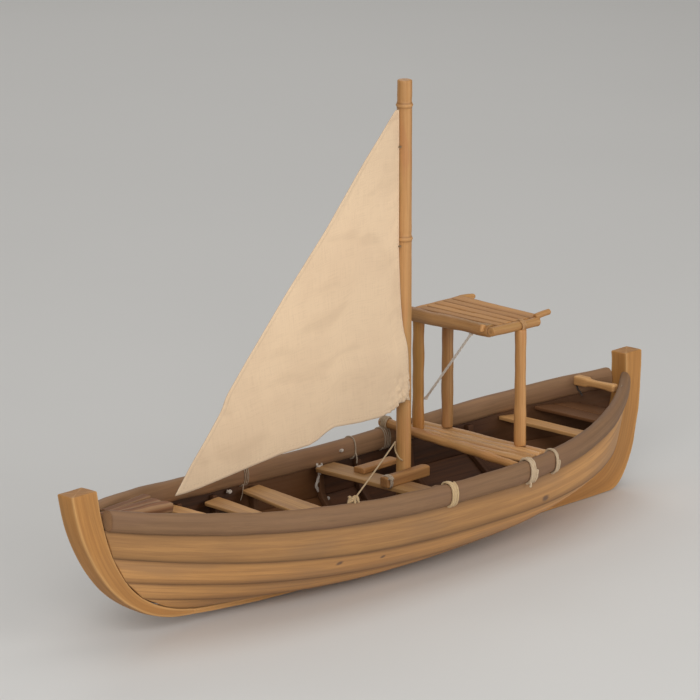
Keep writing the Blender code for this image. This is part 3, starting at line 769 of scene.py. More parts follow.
class Form:
    """Closed skins gathered into one piece, each a stack of rings with its grain and traits."""

    def __init__(self, name: str, seed: int, tone: float | None = None) -> None:
        """Starts an empty piece.

        Args:
            name: Name of the piece.
            seed: Seed of its small unevenness.
            tone: How pale it is, about 0 to 1, or None for one drawn from the seed.
        """
        self.name = name
        self.seed = seed
        drawn = float(np.random.default_rng(seed).uniform(0.0, 1.0))
        self.tone = drawn if tone is None else tone
        self.points: list[Array] = []
        self.faces: list[list[int]] = []
        self.uvs: list[Array] = []
        self.grain: list[Array] = []
        self.traits: list[Array] = []
        self.inward: list[Array] = []
        self.count = 0

    def skin(self, rings: Array, edge: Array, side: Array, up: Array, soft: float,
             inward: Array | float = 0.0) -> "Form":
        """Closes the rings' ends and adds the skin.

        The grain of a point is its place in its own section, along the side and up directions, and the
        distance along the piece. The UV is the way round the section and the way along.

        Args:
            rings: Points, rows by ring by three, without end faces.
            edge: For each row and ring point the edge, joint or groove mask.
            side: Side direction of each row.
            up: Up direction of each row.
            soft: Radius of the end edges.
            inward: For each ring point 1 on the third side of a timber.

        Returns:
            The piece itself.
        """
        edge = np.broadcast_to(edge, rings.shape[:2])
        rings, ends = closed(rings, soft)
        rows, count = rings.shape[:2]
        extra = (rows - len(edge)) // 2
        edge, side, up = (np.pad(part, ((extra, extra), (0, 0)), "edge") for part in (edge, side, up))
        points = rings.reshape(-1, 3)
        index = np.arange(rows * count).reshape(rows, count)
        around = np.roll(index, -1, axis=1)
        quads = np.stack([index[:-1], around[:-1], around[1:], index[1:]], axis=-1).reshape(-1, 4)
        caps = [index[0][::-1], index[-1]]
        centre = points.mean(axis=0)
        fans = [np.stack([np.full(count - 2, cap[0]), cap[1:-1], cap[2:]], axis=1) for cap in caps]
        triangles = np.concatenate([quads[:, :3], quads[:, [0, 2, 3]], *fans])
        a, b, c = (points[triangles[:, k]] - centre for k in range(3))
        turn = -1 if float(np.einsum("ij,ij->", a, np.cross(b, c))) < 0 else 1
        middles = rings.mean(axis=1)
        along = travelled(middles)
        ring = rings[rows // 2]
        steps = np.linalg.norm(np.roll(ring, -1, axis=0) - ring, axis=1)
        girth = np.concatenate([[0.0], np.cumsum(steps)])
        wrapped = (rows, count + 1)
        uv = np.stack([np.broadcast_to(girth, wrapped), np.broadcast_to(along[:, None], wrapped)], axis=-1)
        quad_uv = np.stack([uv[:-1, :-1], uv[:-1, 1:], uv[1:, 1:], uv[1:, :-1]], axis=2).reshape(-1, 4, 2)
        away = rings - middles[:, None]
        grain = np.stack([np.einsum("ijk,ik->ij", away, side), np.einsum("ijk,ik->ij", away, up),
                          np.broadcast_to(along[:, None], (rows, count))], axis=-1).reshape(-1, 3)
        self.faces += (quads[:, ::turn] + self.count).tolist()
        self.uvs.append(quad_uv[:, ::turn].reshape(-1, 2))
        for cap in caps:
            self.faces.append((cap[::turn] + self.count).tolist())
            self.uvs.append(grain[cap[::turn], :2])
        self.points.append(points)
        self.grain.append(grain)
        masks = (self.tone, ends[:, None], edge)
        spread = [np.broadcast_to(mask, (rows, count)) for mask in masks]
        self.traits.append(np.stack(spread, axis=-1).reshape(-1, 3))
        self.inward.append(np.broadcast_to(inward, (rows, count)).ravel())
        self.count += rows * count
        return self

    def beam(self, corners: Array, soft: float = 0.0008, step: float = 0.006, mids: tuple[int, int] = (7, 2),
             crown: Sequence[float] = (0.0, 0.0, 0.0, 0.0), wobble: float = 0.0002, end_soft: float = 0.0,
             fade: float = 0.0006) -> "Form":
        """Adds a squared timber from the four corners of its sections, in order along it.

        Every point moves outwards from the timber's middle by wobble times a smooth waviness.

        Args:
            corners: Sections by four by three.
            soft: Softness of the long edges.
            step: Distance between sections.
            mids: Points inside the sides.
            crown: Height of the crown of each side.
            wobble: Size of the hand-cut unevenness.
            end_soft: Radius of the end edges, or 0 for the same as soft.
            fade: Distance over which the edge mask falls away.

        Returns:
            The piece itself.
        """
        squared = resample(corners, step)
        rings, edge = rounded(squared, soft, mids, crown, fade)
        side = unit(squared[:, 1] + squared[:, 2] - squared[:, 0] - squared[:, 3])
        up = unit(squared[:, 3] + squared[:, 2] - squared[:, 0] - squared[:, 1])
        long_waves = wander(rings, self.seed, 0.05)[..., None] * wobble
        short_waves = wander(rings, self.seed + 7, 0.012)[..., None] * wobble * 0.4
        rings = rings + unit(rings - rings.mean(axis=1, keepdims=True)) * (long_waves + short_waves)
        inward = np.zeros(rings.shape[1])
        start = 2 * ARC_POINTS + sum(mids)
        inward[start:start + 2 * ARC_POINTS + mids[0]] = 1.0
        return self.skin(rings, edge, side, up, end_soft or soft, inward)

    def pole(self, path: Array, radii: Array | float, up: Point = UPWARD, flat: float = 1.0,
             joints: Sequence[float] = (), sides: int = 32, wobble: float = 0.00025,
             soft: float = 0.0012) -> "Form":
        """Adds a round cane along a path.

        The radius swells at each joint by a narrow bell, dips just beyond it, and wanders a little.

        Args:
            path: Points along the middle, a few millimetres apart.
            radii: Radius, or one for each point.
            up: Direction that flat presses.
            flat: Height of the section against its width.
            joints: Distances along the path of the cane's joints.
            sides: Points round the section.
            wobble: Size of the unevenness.
            soft: Radius of the end edges.

        Returns:
            The piece itself.
        """
        side, lift = framed(path, up)
        along = travelled(path)[:, None]
        places = np.array(joints, float)
        ridge = np.exp(-((along - places) / 0.0016) ** 2).sum(axis=1)
        dip = np.exp(-((along - 0.0044 - places) / 0.0026) ** 2).sum(axis=1)
        radius = np.asarray(radii, float) * (1 + 0.15 * ridge - 0.04 * dip)
        angle = np.linspace(0.0, TURN, sides, endpoint=False)
        cosine, sine = np.cos(angle)[None, :, None], np.sin(angle)[None, :, None]
        out = cosine * side[:, None] + flat * sine * lift[:, None]
        rings = path[:, None] + out * radius[:, None, None]
        rings = rings + out * (wander(rings, self.seed, 0.03)[..., None] * wobble)
        return self.skin(rings, ridge[:, None], side, lift, soft)

    def twine(self, path: Array, radius: float, up: Point = UPWARD, sides: int = 12, strands: int = 3,
              lay: float = 7.0) -> "Form":
        """Adds twisted twine along a path.

        The section is a rounded trefoil: its radius is the twine's times 0.90 plus 0.13 times the cosine of
        strands times the angle, less 1.5 turns for each lay.

        Args:
            path: Points along the middle.
            radius: Radius of the twine.
            up: Direction that the section is measured from.
            sides: Points round the section.
            strands: Number of strands.
            lay: Length of the twist in radii of the twine.

        Returns:
            The piece itself.
        """
        side, lift = framed(path, up)
        along = travelled(path)
        angle = np.linspace(0.0, TURN, sides, endpoint=False)[None, :]
        turned = strands * (angle - (along / (lay * radius))[:, None] * 2 * math.pi / strands * 1.5)
        reach = radius * (0.9 + 0.13 * np.cos(turned))
        out = np.cos(angle)[..., None] * side[:, None] + np.sin(angle)[..., None] * lift[:, None]
        rings = path[:, None] + out * reach[..., None]
        groove = np.clip(-np.cos(turned), 0.0, 1.0) ** 2
        return self.skin(rings, groove, side, lift, radius * 0.5)

    def put(self, finish: Finish, body: Body = Body.HULL, slot: str = "", nodes: Sequence[str] = (),
            sharp: float = 55.0) -> bpy.types.Object:
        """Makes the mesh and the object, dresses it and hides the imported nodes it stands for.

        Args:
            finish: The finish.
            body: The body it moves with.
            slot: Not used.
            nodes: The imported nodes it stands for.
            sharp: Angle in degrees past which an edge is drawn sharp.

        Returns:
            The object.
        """
        mesh = bpy.data.meshes.new(self.name)
        mesh.from_pydata(np.concatenate(self.points).tolist(), [], self.faces)
        layer = mesh.uv_layers.new(name="own")
        layer.data.foreach_set("uv", np.concatenate(self.uvs).astype(np.float32).ravel())
        for label, values in (("grain", self.grain), ("traits", self.traits)):
            made = mesh.attributes.new(label, "FLOAT_VECTOR", "POINT")
            made.data.foreach_set("vector", np.concatenate(values).astype(np.float32).ravel())
        made = mesh.attributes.new("inward", "FLOAT", "POINT")
        made.data.foreach_set("value", np.concatenate(self.inward).astype(np.float32))
        mesh.shade_smooth()
        mesh.set_sharp_from_angle(angle=math.radians(sharp))
        return placed(self.name, mesh, finish, body, nodes)


def placed(name: str, mesh: bpy.types.Mesh, finish: Finish, body: Body,
           nodes: Sequence[str]) -> bpy.types.Object:
    """Puts a mesh in the scene as a piece of the model and reports it.

    Args:
        name: Name of the piece.
        mesh: Its mesh.
        finish: Its finish.
        body: The body it moves with.
        nodes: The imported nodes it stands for.

    Returns:
        The object.
    """
    mesh.materials.append(dressed(finish))
    made = bpy.data.objects.new(name, mesh)
    bpy.context.scene.collection.objects.link(made)
    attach(made, body.value)
    if nodes:
        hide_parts(*nodes)
    LOG.info("%s: %d faces, %s", name, len(mesh.polygons), finish.name)
    return made


def cubic(points: Sequence[Sequence[float]], t: Array) -> Array:
    """Points of the cubic curve with four control points: their mean weighted by the powers of t and 1 - t.

    Args:
        points: The control points (x, z).
        t: Places on the curve, 0 to 1.

    Returns:
        Pairs (x, z), in the last axis.
    """
    a, b, c, d = (np.array(p, float) for p in points)
    t = np.asarray(t, float)[..., None]
    return (1 - t) ** 3 * a + 3 * (1 - t) ** 2 * t * b + 3 * (1 - t) * t ** 2 * c + t ** 3 * d


def cubic_where(points: Sequence[Sequence[float]], axis: int, value: Array) -> Array:
    """Points where the cubic curve passes given values, found by halving.

    Args:
        points: The control points (x, z).
        axis: 0 where the values are of x, 1 where they are of z.
        value: The values.

    Returns:
        Pairs (x, z), in the last axis.
    """
    value = np.asarray(value, float)
    low, high = np.zeros_like(value), np.ones_like(value)
    rising = points[3][axis] > points[0][axis]
    for _ in range(HALVINGS):
        middle = (low + high) / 2
        below = (cubic(points, middle)[..., axis] < value) == rising
        low, high = np.where(below, middle, low), np.where(below, high, middle)
    return cubic(points, low)


@dataclass(frozen=True)
class Edge:
    """A plank edge: y, z and x of its widest place, z at the posts, and powers of its fullness and rise."""

    y: float
    z: float
    x: float
    bow_z: float
    stern_z: float
    full_fore: float
    full_aft: float
    rise_fore: float = 2.0
    rise_aft: float = 2.0


@dataclass(frozen=True)
class HullLines:
    """The formulas of the hull: plank edges, skin, rail and posts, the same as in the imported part."""

    edges: tuple[Edge, ...] = (
        Edge(0.01, 0.0055, -0.098, 0.0166, 0.0055, 2.0, 2.0),
        Edge(0.0442, 0.0088, -0.016, 0.041, 0.024, 2.2, 1.5, 2.2, 2.4),
        Edge(0.07, 0.0215, -0.069, 0.0615, 0.0356, 2.5, 2.0, 2.1, 2.2),
        Edge(0.0895, 0.0432, -0.092, 0.0875, 0.0576, 3.2, 2.8),
        Edge(0.0926, 0.0731, -0.098, 0.1144, 0.0995, 3.4, 2.55))
    stem_front: tuple = ((0.2453, 0.011), (0.33, 0.014), (0.385, 0.075), (0.4, 0.1546))
    stem_back: tuple = ((0.2453, 0.0166), (0.335, 0.031), (0.356, 0.085), (0.3687, 0.1546))
    stern_back: tuple = ((-0.4, 0.1376), (-0.401, 0.075), (-0.386, 0.0), (-0.352, 0.0))
    stern_front: tuple = ((-0.375, 0.1376), (-0.38, 0.05), (-0.345, 0.018), (-0.2623, 0.0055))
    keel_half: float = 0.01
    keel_fore: float = 0.245
    keel_aft: float = -0.262
    garboard_fore: float = 0.281
    garboard_aft: float = -0.3
    post_gap: float = -0.0008
    plank: float = 0.003
    middle_x: float = -0.098
    square_fore: float = 0.225
    square_aft: float = -0.24
    square_share: float = 0.7
    rail_beam: float = 0.0906
    rail_end: float = 0.0112
    rail_bow: float = 0.3585
    rail_stern: float = -0.372
    rail_z: float = 0.0837
    rail_rise: tuple[float, float] = (0.0413, 0.0264)
    rail_full: tuple[float, float] = (3.4, 2.55)
    rail_deep: float = 0.0103
    rail_out: float = 0.0075
    rail_in: float = 0.0065

    def keel_bottom(self, x: Array) -> Array:
        """Height of the keel's underside: flat, then 0.26 times the square of the way past x = 0.04."""
        return 0.26 * np.maximum(0.0, x - 0.04) ** 2

    def ends(self, k: int) -> tuple[float, float]:
        """Where a plank edge ends.

        Args:
            k: Number of the edge from the keel up.

        Returns:
            x at the bow and at the stern.
        """
        if k == 0:
            return self.garboard_fore, self.garboard_aft
        bow = cubic_where(self.stem_back, 1, np.array(self.edges[k].bow_z))[0] - self.post_gap
        stern = cubic_where(self.stern_front, 1, np.array(self.edges[k].stern_z))[0] + self.post_gap
        return float(bow), float(stern)

    def edge(self, k: int, x: Array) -> Array:
        """Points (y, z) of plank edge k at x, port side.

        With t from 0 at the widest place to 1 at the post, y is the keel's half breadth plus the rest times
        1 - t^full, and z is the middle height plus the rise times t^power. The lowest edge follows the keel,
        then the posts.

        Args:
            k: Number of the edge from the keel up.
            x: Places along the boat.

        Returns:
            Pairs (y, z), in the last axis.
        """
        e = self.edges[k]
        x = np.asarray(x, float)
        bow, stern = self.ends(k)
        fore = x > e.x
        if k == 0:
            z = self.keel_bottom(x) + e.z
            z = np.where(x > self.keel_fore, cubic_where(self.stem_back, 0, x)[..., 1] + 2 * GAP, z)
            z = np.where(x < self.keel_aft, cubic_where(self.stern_front, 0, x)[..., 1] + 2 * GAP, z)
            return np.stack([np.full_like(x, e.y), z], axis=-1)
        t = np.maximum(0.0, (x - e.x) / (np.where(fore, bow, stern) - e.x))
        y = self.keel_half + (e.y - self.keel_half) * (1 - t ** np.where(fore, e.full_fore, e.full_aft))
        z = e.z + (np.where(fore, e.bow_z, e.stern_z) - e.z) * t ** np.where(fore, e.rise_fore, e.rise_aft)
        return np.stack([y, z], axis=-1)

    def skin(self, x: Array, depth: float) -> tuple[Array, Array, Array]:
        """The hull's skin in section.

        Each edge point moves inwards by depth along the mean of the normals of the planks beside it.

        Args:
            x: Place of each edge in each section, sections by five.
            depth: Depth inside the outer face.

        Returns:
            Points (y, z), directions up each plank, and each plank's outward normals.
        """
        points = np.stack([self.edge(k, x[:, k]) for k in range(5)], axis=1)
        runs = unit(points[:, 1:] - points[:, :-1])
        normals = np.stack([runs[..., 1], -runs[..., 0]], axis=-1)
        before, after = normals[:, [0, 0, 1, 2, 3]], normals[:, [0, 1, 2, 3, 3]]
        middle = unit(before + after)
        facing = np.maximum(0.6, (middle * after).sum(axis=-1, keepdims=True))
        pushed = points - middle * depth / facing
        pushed[:, -1, 1] = points[:, -1, 1]
        return pushed, runs, normals

    def skin_y(self, x: float, z: float, depth: float) -> float:
        """Half breadth of the skin at x and z, at that depth."""
        points = self.skin(np.full((1, 5), x), depth)[0][0]
        return float(np.interp(z, points[:, 1], points[:, 0]))

    def plank_x(self, s: Array) -> Array:
        """Stations of the planks: square ones amidships, then a fan that ends along the posts.

        Args:
            s: Steps from -1 at the stern to 1 at the bow.

        Returns:
            x of the five edges at each step.
        """
        ends = np.array([self.ends(k) for k in range(5)])
        s = np.asarray(s, float)[:, None]
        square = np.where(s > 0, self.square_fore, self.square_aft)
        end = np.where(s > 0, ends[None, :, 0], ends[None, :, 1])
        share = np.abs(s) / self.square_share
        inner = self.middle_x + share * (square - self.middle_x)
        outer = square + (np.abs(s) - self.square_share) / (1 - self.square_share) * (end - square)
        return np.where(share <= 1.0, inner, outer)

    def rail(self, x: Array) -> tuple[Array, Array]:
        """The rail's middle line, by powers of t like the plank edges.

        Args:
            x: Places along the boat.

        Returns:
            Half breadths and heights.
        """
        x = np.asarray(x, float)
        fore = x > self.middle_x
        end = np.where(fore, self.rail_bow, self.rail_stern)
        t = np.clip((x - self.middle_x) / (end - self.middle_x), 0, 1)
        y = self.rail_end + (self.rail_beam - self.rail_end) * (1 - t ** np.where(fore, *self.rail_full))
        return y, self.rail_z + np.where(fore, *self.rail_rise) * t ** 2

    def rail_point(self, x: Array, angle: Array, side: int, lift: float = 0.0) -> Array:
        """Points of the rail's surface at x and angle from outboard over the top, moved outwards by lift.

        The section is a squarish oval: half width times |cos|^0.8 and half depth times |sin|^0.85.

        Args:
            x: Places along the boat.
            angle: Angles round the section, of a shape that fits x.
            side: Sign of y.
            lift: Distance outside the surface.

        Returns:
            Points, in the last axis.
        """
        y, z = self.rail(x)
        c, d = np.cos(angle), np.sin(angle)
        wide = np.where(c > 0, self.rail_out, self.rail_in) + lift
        across = np.sign(c) * wide * np.abs(c) ** 0.8
        rise = np.sign(d) * (self.rail_deep + lift) * np.abs(d) ** 0.85
        return np.stack([x + 0 * c, side * (y + across), z + rise], axis=-1)


LINES = HullLines()


def box_corners(x: Array, low_y: Any, high_y: Any, low_z: Any, high_z: Any) -> Array:
    """Corners of upright rectangles across the boat.

    Args:
        x: Places of the rectangles.
        low_y: Their lower y, or one for each.
        high_y: Their higher y.
        low_z: Their bottom.
        high_z: Their top.

    Returns:
        Rectangles by four corners by three.
    """
    x = np.asarray(x, float)
    y0, y1, z0, z1 = (np.broadcast_to(part, x.shape) for part in (low_y, high_y, low_z, high_z))
    return np.stack([np.stack([x, y, z], -1) for y, z in ((y0, z0), (y1, z0), (y1, z1), (y0, z1))], axis=1)


@dataclass
class Backbone:
    """Keel, curved stem and upright stern post."""

    keel_depth: float = 0.0052
    core_half: float = 0.0062
    core_top: float = 0.008
    heel_share: float = 0.72
    heel_x: float = -0.352
    past: float = 0.0012
    steps: int = 90

    def build(self) -> None:
        """Makes the three timbers."""
        x = np.linspace(LINES.keel_aft - self.past, LINES.keel_fore + self.past, self.steps)
        bottom = LINES.keel_bottom(x)
        keel = Form("keel_timber", 11)
        keel.beam(box_corners(x, -LINES.keel_half, LINES.keel_half, bottom, bottom + self.keel_depth), 0.0012,
                  end_soft=0.0003)
        keel.beam(box_corners(x, -self.core_half, self.core_half, bottom + self.keel_depth - GAP,
                              bottom + self.core_top), 0.0005, wobble=0.0)
        keel.put(POST_WOOD, nodes=["keel"])
        t = np.linspace(0.0, 1.0, self.steps)
        self.post("stem_timber", cubic(LINES.stem_front, t), cubic(LINES.stem_back, t), 13, "stem_post")
        share = np.clip(t / self.heel_share, 0.0, 1.0)
        back = cubic(LINES.stern_back, share)
        foot = np.clip((t - self.heel_share) / (1 - self.heel_share), 0.0, 1.0)
        back[:, 0] = np.where(foot > 0, self.heel_x + foot * (LINES.keel_aft - GAP - self.heel_x), back[:, 0])
        self.post("stern_timber", back, cubic(LINES.stern_front, t), 17, "stern_post")

    def post(self, name: str, one: Array, other: Array, seed: int, node: str) -> None:
        """One end post between two outlines, with rounded arrises and a slightly uneven cut.

        Args:
            name: Name of the piece.
            one: Outer outline (x, z).
            other: Inner outline (x, z).
            seed: Seed of its unevenness.
            node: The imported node.
        """
        half = LINES.keel_half
        corners = np.stack([np.stack([p[:, 0], np.full(len(p), y), p[:, 1]], -1)
                            for p, y in ((one, half), (other, half), (other, -half), (one, -half))], axis=1)
        Form(name, seed).beam(corners, 0.0013, 0.004, (9, 6), (0.0, 0.0003, 0.0, 0.0005), 0.00035,
                              0.0012).put(POST_WOOD, nodes=[node])


@dataclass
class Planking:
    """Four planks and one thick rail on each side."""

    lap: float = 0.0007
    overlap: float = 0.0003
    steps: int = 110
    crown: float = 0.0011
    soft: float = 0.0011
    # width of the painted shade along each seam
    seam_shade_fade: float = 0.0032
    tuck: float = 0.0016
    # painted light: the top plank is darkened and the lower three brightened, as if lit from below
    painted_light_tones: tuple[float, ...] = (0.75, 1.05, 1.15, -0.15)
    rail_painted_light_tones: tuple[float, float] = (0.4, 1.8)
    rail_steps: int = 170
    rail_sides: int = 40

    def build(self) -> None:
        """Makes the eight planks and the two rails."""
        for side in Side:
            for number in range(1, 5):
                self.plank(number, side)
            self.rail(side)

    def plank(self, number: int, side: Side) -> None:
        """One plank between two edge curves: its corners are the skin's points, a small step out below.

        Args:
            number: Number of the plank from the keel up.
            side: Side of the boat.
        """
        x = LINES.plank_x(np.linspace(-1.0, 1.0, self.steps))
        outer, runs, normals = LINES.skin(x, 0.0)
        inner = LINES.skin(x, LINES.plank)[0]
        low, high = number - 1, number
        step = self.lap if low else 0.0
        down = -runs[:, low] * self.overlap
        up = runs[:, low] * (self.tuck if high == 4 else self.overlap)
        pairs = ((low, outer[:, low] + down + normals[:, low] * step), (high, outer[:, high] + up),
                 (high, inner[:, high] + up), (low, inner[:, low] + down))
        corners = np.stack([np.stack([x[:, k], side.value * p[:, 0], p[:, 1]], -1) for k, p in pairs], axis=1)
        form = Form(f"plank_{number}_{side.label}", 20 + number * 3 + side.value, self.painted_light_tones[number - 1])
        form.beam(corners, self.soft, mids=(14, 1), crown=(self.crown, 0.0, 0.0, 0.0), wobble=0.00022,
                  end_soft=0.0006, fade=self.seam_shade_fade)
        form.put(HULL_WOOD, nodes=[f"strake_{number}_{side.label}"])

    def rail(self, side: Side) -> None:
        """The thick rounded rail, worn uneven by hand, with squared-off ends.

        Args:
            side: Side of the boat.
        """
        s = np.linspace(-1.0, 1.0, self.rail_steps)
        s = np.sign(s) * (1 - (1 - np.abs(s)) ** 1.5)
        reach = np.where(s > 0, LINES.rail_bow, LINES.rail_stern) - LINES.middle_x
        x = LINES.middle_x + np.abs(s) * reach
        angle = np.linspace(0.0, TURN, self.rail_sides, endpoint=False)
        rings = LINES.rail_point(x[:, None], angle[None, :] + 0 * x[:, None], side.value)
        form = Form(f"rail_timber_{side.label}", 41 + side.value, self.rail_painted_light_tones[side is Side.STARBOARD])
        long_waves = wander(rings, form.seed, 0.06)[..., None] * 0.0004
        short_waves = wander(rings, form.seed + 5, 0.016)[..., None] * 0.00018
        rings = rings + unit(rings - rings.mean(axis=1, keepdims=True)) * (long_waves + short_waves)
        if side is Side.PORT:
            # a small frayed bump on the inner top arris beside the first lashing: a bell of x and angle
            along = np.exp(-((x[:, None] - 0.001) / 0.005) ** 2)
            around = np.exp(-((angle[None, :] - 2.15) / 0.35) ** 2)
            rings = rings + np.array((0.0, -0.0006, 0.0016)) * (along * around)[..., None]
        across, lift = framed(rings.mean(axis=1), (0.0, 0.0, 1.0))
        ridge = np.exp(-((angle - 2.2) / 0.5) ** 2) + np.exp(-((angle - 0.9) / 0.5) ** 2)
        form.skin(rings, ridge[None], across, lift, 0.001).put(RAIL_WOOD, nodes=[f"rail_{side.label}"])


@dataclass
class Inside:
    """Ribs, thwarts, stern bench, stern bar and the loose bottom boards."""

    rib_x: tuple[float, ...] = (0.184, 0.128, 0.07, -0.027, -0.081, -0.155, -0.232)
    rib_half: float = 0.003
    rib_depth: float = 0.0055
    rib_seat: float = 0.0006
    head_drop: float = 0.0014
    core_top: float = 0.008
    thwarts: tuple = (
        ("thwart_1", 0.0035, (0.1965, 0.087, 0.0082)),
        ("thwart_2", 0.0035, (0.1418, 0.0755, 0.0063), (0.1355, 0.08, 0.0115)),
        ("thwart_3", 0.0035, (0.0985, 0.0735, 0.018), (0.0757, 0.078, 0.0126)),
        ("thwart_mast", 0.0045, (-0.0315, 0.0768, 0.0135)),
        ("thwart_aft", 0.004, (-0.2755, 0.0813, 0.0085)),
        ("stern_bench_1", 0.0035, (-0.3105, 0.088, 0.01)),
        ("stern_bench_2", 0.0035, (-0.3325, 0.088, 0.0105)))
    bar: tuple[float, float, float] = (-0.34, 0.1115, 0.004)
    bar_places: tuple[float, ...] = (1.0, 0.82, 0.6, 0.1, -0.1, -0.3, -0.38, -1.0)
    bar_sizes: tuple[float, ...] = (1.0, 1.0, 0.86, 0.8, 0.84, 0.94, 1.2, 1.2)
    floor: tuple = (("floor_board_port", 0.0285, 0.011, -0.16, 0.074),
                    ("floor_board_middle_aft", 0.0, 0.013, -0.236, -0.078),
                    ("floor_board_middle_fore", 0.0, 0.013, -0.0285, 0.133),
                    ("floor_board_starboard", -0.0285, 0.011, -0.16, 0.074))
    floor_thick: float = 0.0028
    bench_tone: float = 1.8
    dull_tones: tuple = (("thwart_3", 0.0), ("thwart_mast", -0.75))

    def rib_section(self, x: float) -> tuple[Array, Array]:
        """Section of a rib, from the keel to its head, port side.

        Args:
            x: Its place.

        Returns:
            Outer and inner points (y, z).
        """
        places = np.full((1, 5), x)
        outer = LINES.skin(places, LINES.plank + self.rib_seat)[0][0]
        inner = LINES.skin(places, LINES.plank + self.rib_seat + self.rib_depth)[0][0]
        over = float(LINES.keel_bottom(np.array(x))) + self.core_top + GAP
        outer[0, 1] = max(outer[0, 1], over)
        inner[0, 1] = max(inner[0, 1], over + self.rib_depth)
        outer[-1, 1] -= self.head_drop
        inner[-1, 1] -= self.head_drop
        return outer, inner

    def reach(self, x: float, z: float, top: float, depth: float) -> float:
        """Half length of a cross board: to the planks, or to the rail that it is level with.

        Args:
            x: Place of the board's edge.
            z: Height of the board's edge.
            top: Height of its top.
            depth: Depth inside the planks' outer face that it may reach.

        Returns:
            The half length.
        """
        rail_y, rail_z = LINES.rail(np.array(x))
        out = LINES.skin_y(x, z, depth)
        if top > float(rail_z) - LINES.rail_deep - 2 * GAP:
            out = min(out, float(rail_y) - LINES.rail_in)
        return out - (GAP if LINES.square_aft < x < LINES.square_fore else 0.0009)

    def build(self) -> None:
        """Makes every inner timber and dresses the mast step."""
        for number, x in enumerate(self.rib_x, 1):
            self.rib(number, x)
        for number, row in enumerate(self.thwarts):
            self.thwart(number, *row)
        self.stern_bar()
        for number, row in enumerate(self.floor):
            self.floor_board(number, *row)
        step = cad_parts["mast_step"]
        step.data.materials.clear()
        step.data.materials.append(dressed(SHADED_STEP_WOOD))

    def rib(self, number: int, middle: float) -> None:
        """One bent rib from rail to rail.

        Args:
            number: Number from the bow.
            middle: x of its middle.
        """
        halves = [self.rib_section(middle + sign * self.rib_half) for sign in (-1, 1)]
        rows = []
        for side, order in ((1, slice(None, None, -1)), (-1, slice(None))):
            for sign, which in ((-1, 0), (1, 0), (1, 1), (-1, 1)):
                p = halves[sign > 0][which][order]
                x = np.full(len(p), middle + sign * self.rib_half)
                rows.append(np.stack([x, side * p[:, 0], p[:, 1]], -1))
        corners = np.concatenate([np.stack(rows[:4], axis=1), np.stack(rows[4:], axis=1)])
        Form(f"rib_timber_{number}", 60 + number).beam(corners, 0.001, 0.004, (2, 2)).put(
            SHADED_INNER_WOOD, nodes=[f"rib_{number}"])

    def thwart(self, number: int, name: str, thick: float, *ends: Point) -> None:
        """One cross board, its ends cut to the planks or ribs, with uneven sawn faces.

        Args:
            number: Place in the list, for the seed.
            name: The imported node.
            thick: Thickness.
            ends: x of the middle, z of the top and half width at the port end, and at the starboard end where
                that differs.
        """
        bench = name.startswith("stern_bench")
        rows = []
        for side, (x, top, half) in ((1, ends[0]), (-1, ends[-1])):
            low = top - thick
            depth = LINES.plank
            for rib in self.rib_x:
                if abs(rib - x) < half + self.rib_half + GAP and low < self.rib_section(rib)[1][-1][1]:
                    depth = LINES.plank + self.rib_seat + self.rib_depth
            rows.append([(px, side * self.reach(px, pz, top, depth), pz)
                         for px, pz in ((x - half, low), (x + half, low), (x + half, top), (x - half, top))])
        tone = self.bench_tone if bench else dict(self.dull_tones).get(name)
        form = Form(f"{name}_board", 80 + 3 * number, tone)
        form.beam(np.array(rows), 0.0011, 0.005, (8, 2), (0.0, 0.0, 0.0003, 0.0), 0.0004)
        form.put(SHADED_INNER_WOOD if bench else SEAT_WOOD, nodes=[name])

    def stern_bar(self) -> None:
        """The squared stick across the stern, thicker and paler at its far third."""
        x, z, half = self.bar
        y = float(LINES.rail(np.array(x))[0]) - LINES.rail_in - GAP
        place, size = np.array(self.bar_places), half * np.array(self.bar_sizes)
        corners = np.stack([np.stack([x + sx * size, place * y, z + sz * size], -1)
                            for sx, sz in ((-1, -1), (1, -1), (1, 1), (-1, 1))], axis=1)
        Form("stern_bar_stick", 107).beam(corners, 0.0022, 0.003, (3, 3), wobble=0.0003).put(
            SEAT_WOOD, nodes=["stern_bar"])

    def floor_board(self, number: int, name: str, y: float, half: float, aft: float, fore: float) -> None:
        """One loose bottom board that bends over the ribs.

        Args:
            number: Place in the list, for the seed.
            name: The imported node.
            y: Its middle.
            half: Half its width.
            aft: x of its aft end.
            fore: x of its fore end.
        """
        x = np.array([aft, *[rib for rib in reversed(self.rib_x) if aft < rib < fore], fore])
        inner = [self.rib_section(float(place))[1] for place in x]
        low = np.array([float(np.interp(abs(y) + half, row[:, 0], row[:, 1])) + GAP for row in inner])
        corners = box_corners(x, y - half, y + half, low, low + self.floor_thick)
        Form(f"{name}_plank", 120 + number).beam(corners, 0.0008, 0.006, (8, 2), wobble=0.0003).put(
            SHADED_INNER_WOOD, nodes=[name])


@dataclass
class Foredeck:
    """Three rough boards that run together in the bow."""

    boards: tuple = (
        ("foredeck_port", 0.01, 0.0024, (0.283, 0.015, 0.0072, 0.128), (0.34, 0.0098, 0.0058, 0.129)),
        ("foredeck_middle", 0.005, 0.001, (0.278, -0.0055, 0.0062, 0.125), (0.356, 0.0, 0.004, 0.1285)),
        ("foredeck_starboard", 0.005, 0.001, (0.272, -0.0235, 0.005, 0.124), (0.34, -0.0108, 0.0046, 0.1265)))

    def build(self) -> None:
        """Makes each board from its two end rectangles: x, y, half width and top."""
        for number, (name, thick, soft, *ends) in enumerate(self.boards):
            x, y, half, top = np.array(ends).T
            form = Form(f"{name}_log", 140 + number)
            form.beam(box_corners(x, y - half, y + half, top - thick, top), soft, 0.003, (5, 4),
                      (0.0, 0.0, 0.0004, 0.0), 0.0005, soft)
            form.put(DECK_WOOD, slot="rail_wood", nodes=[name])


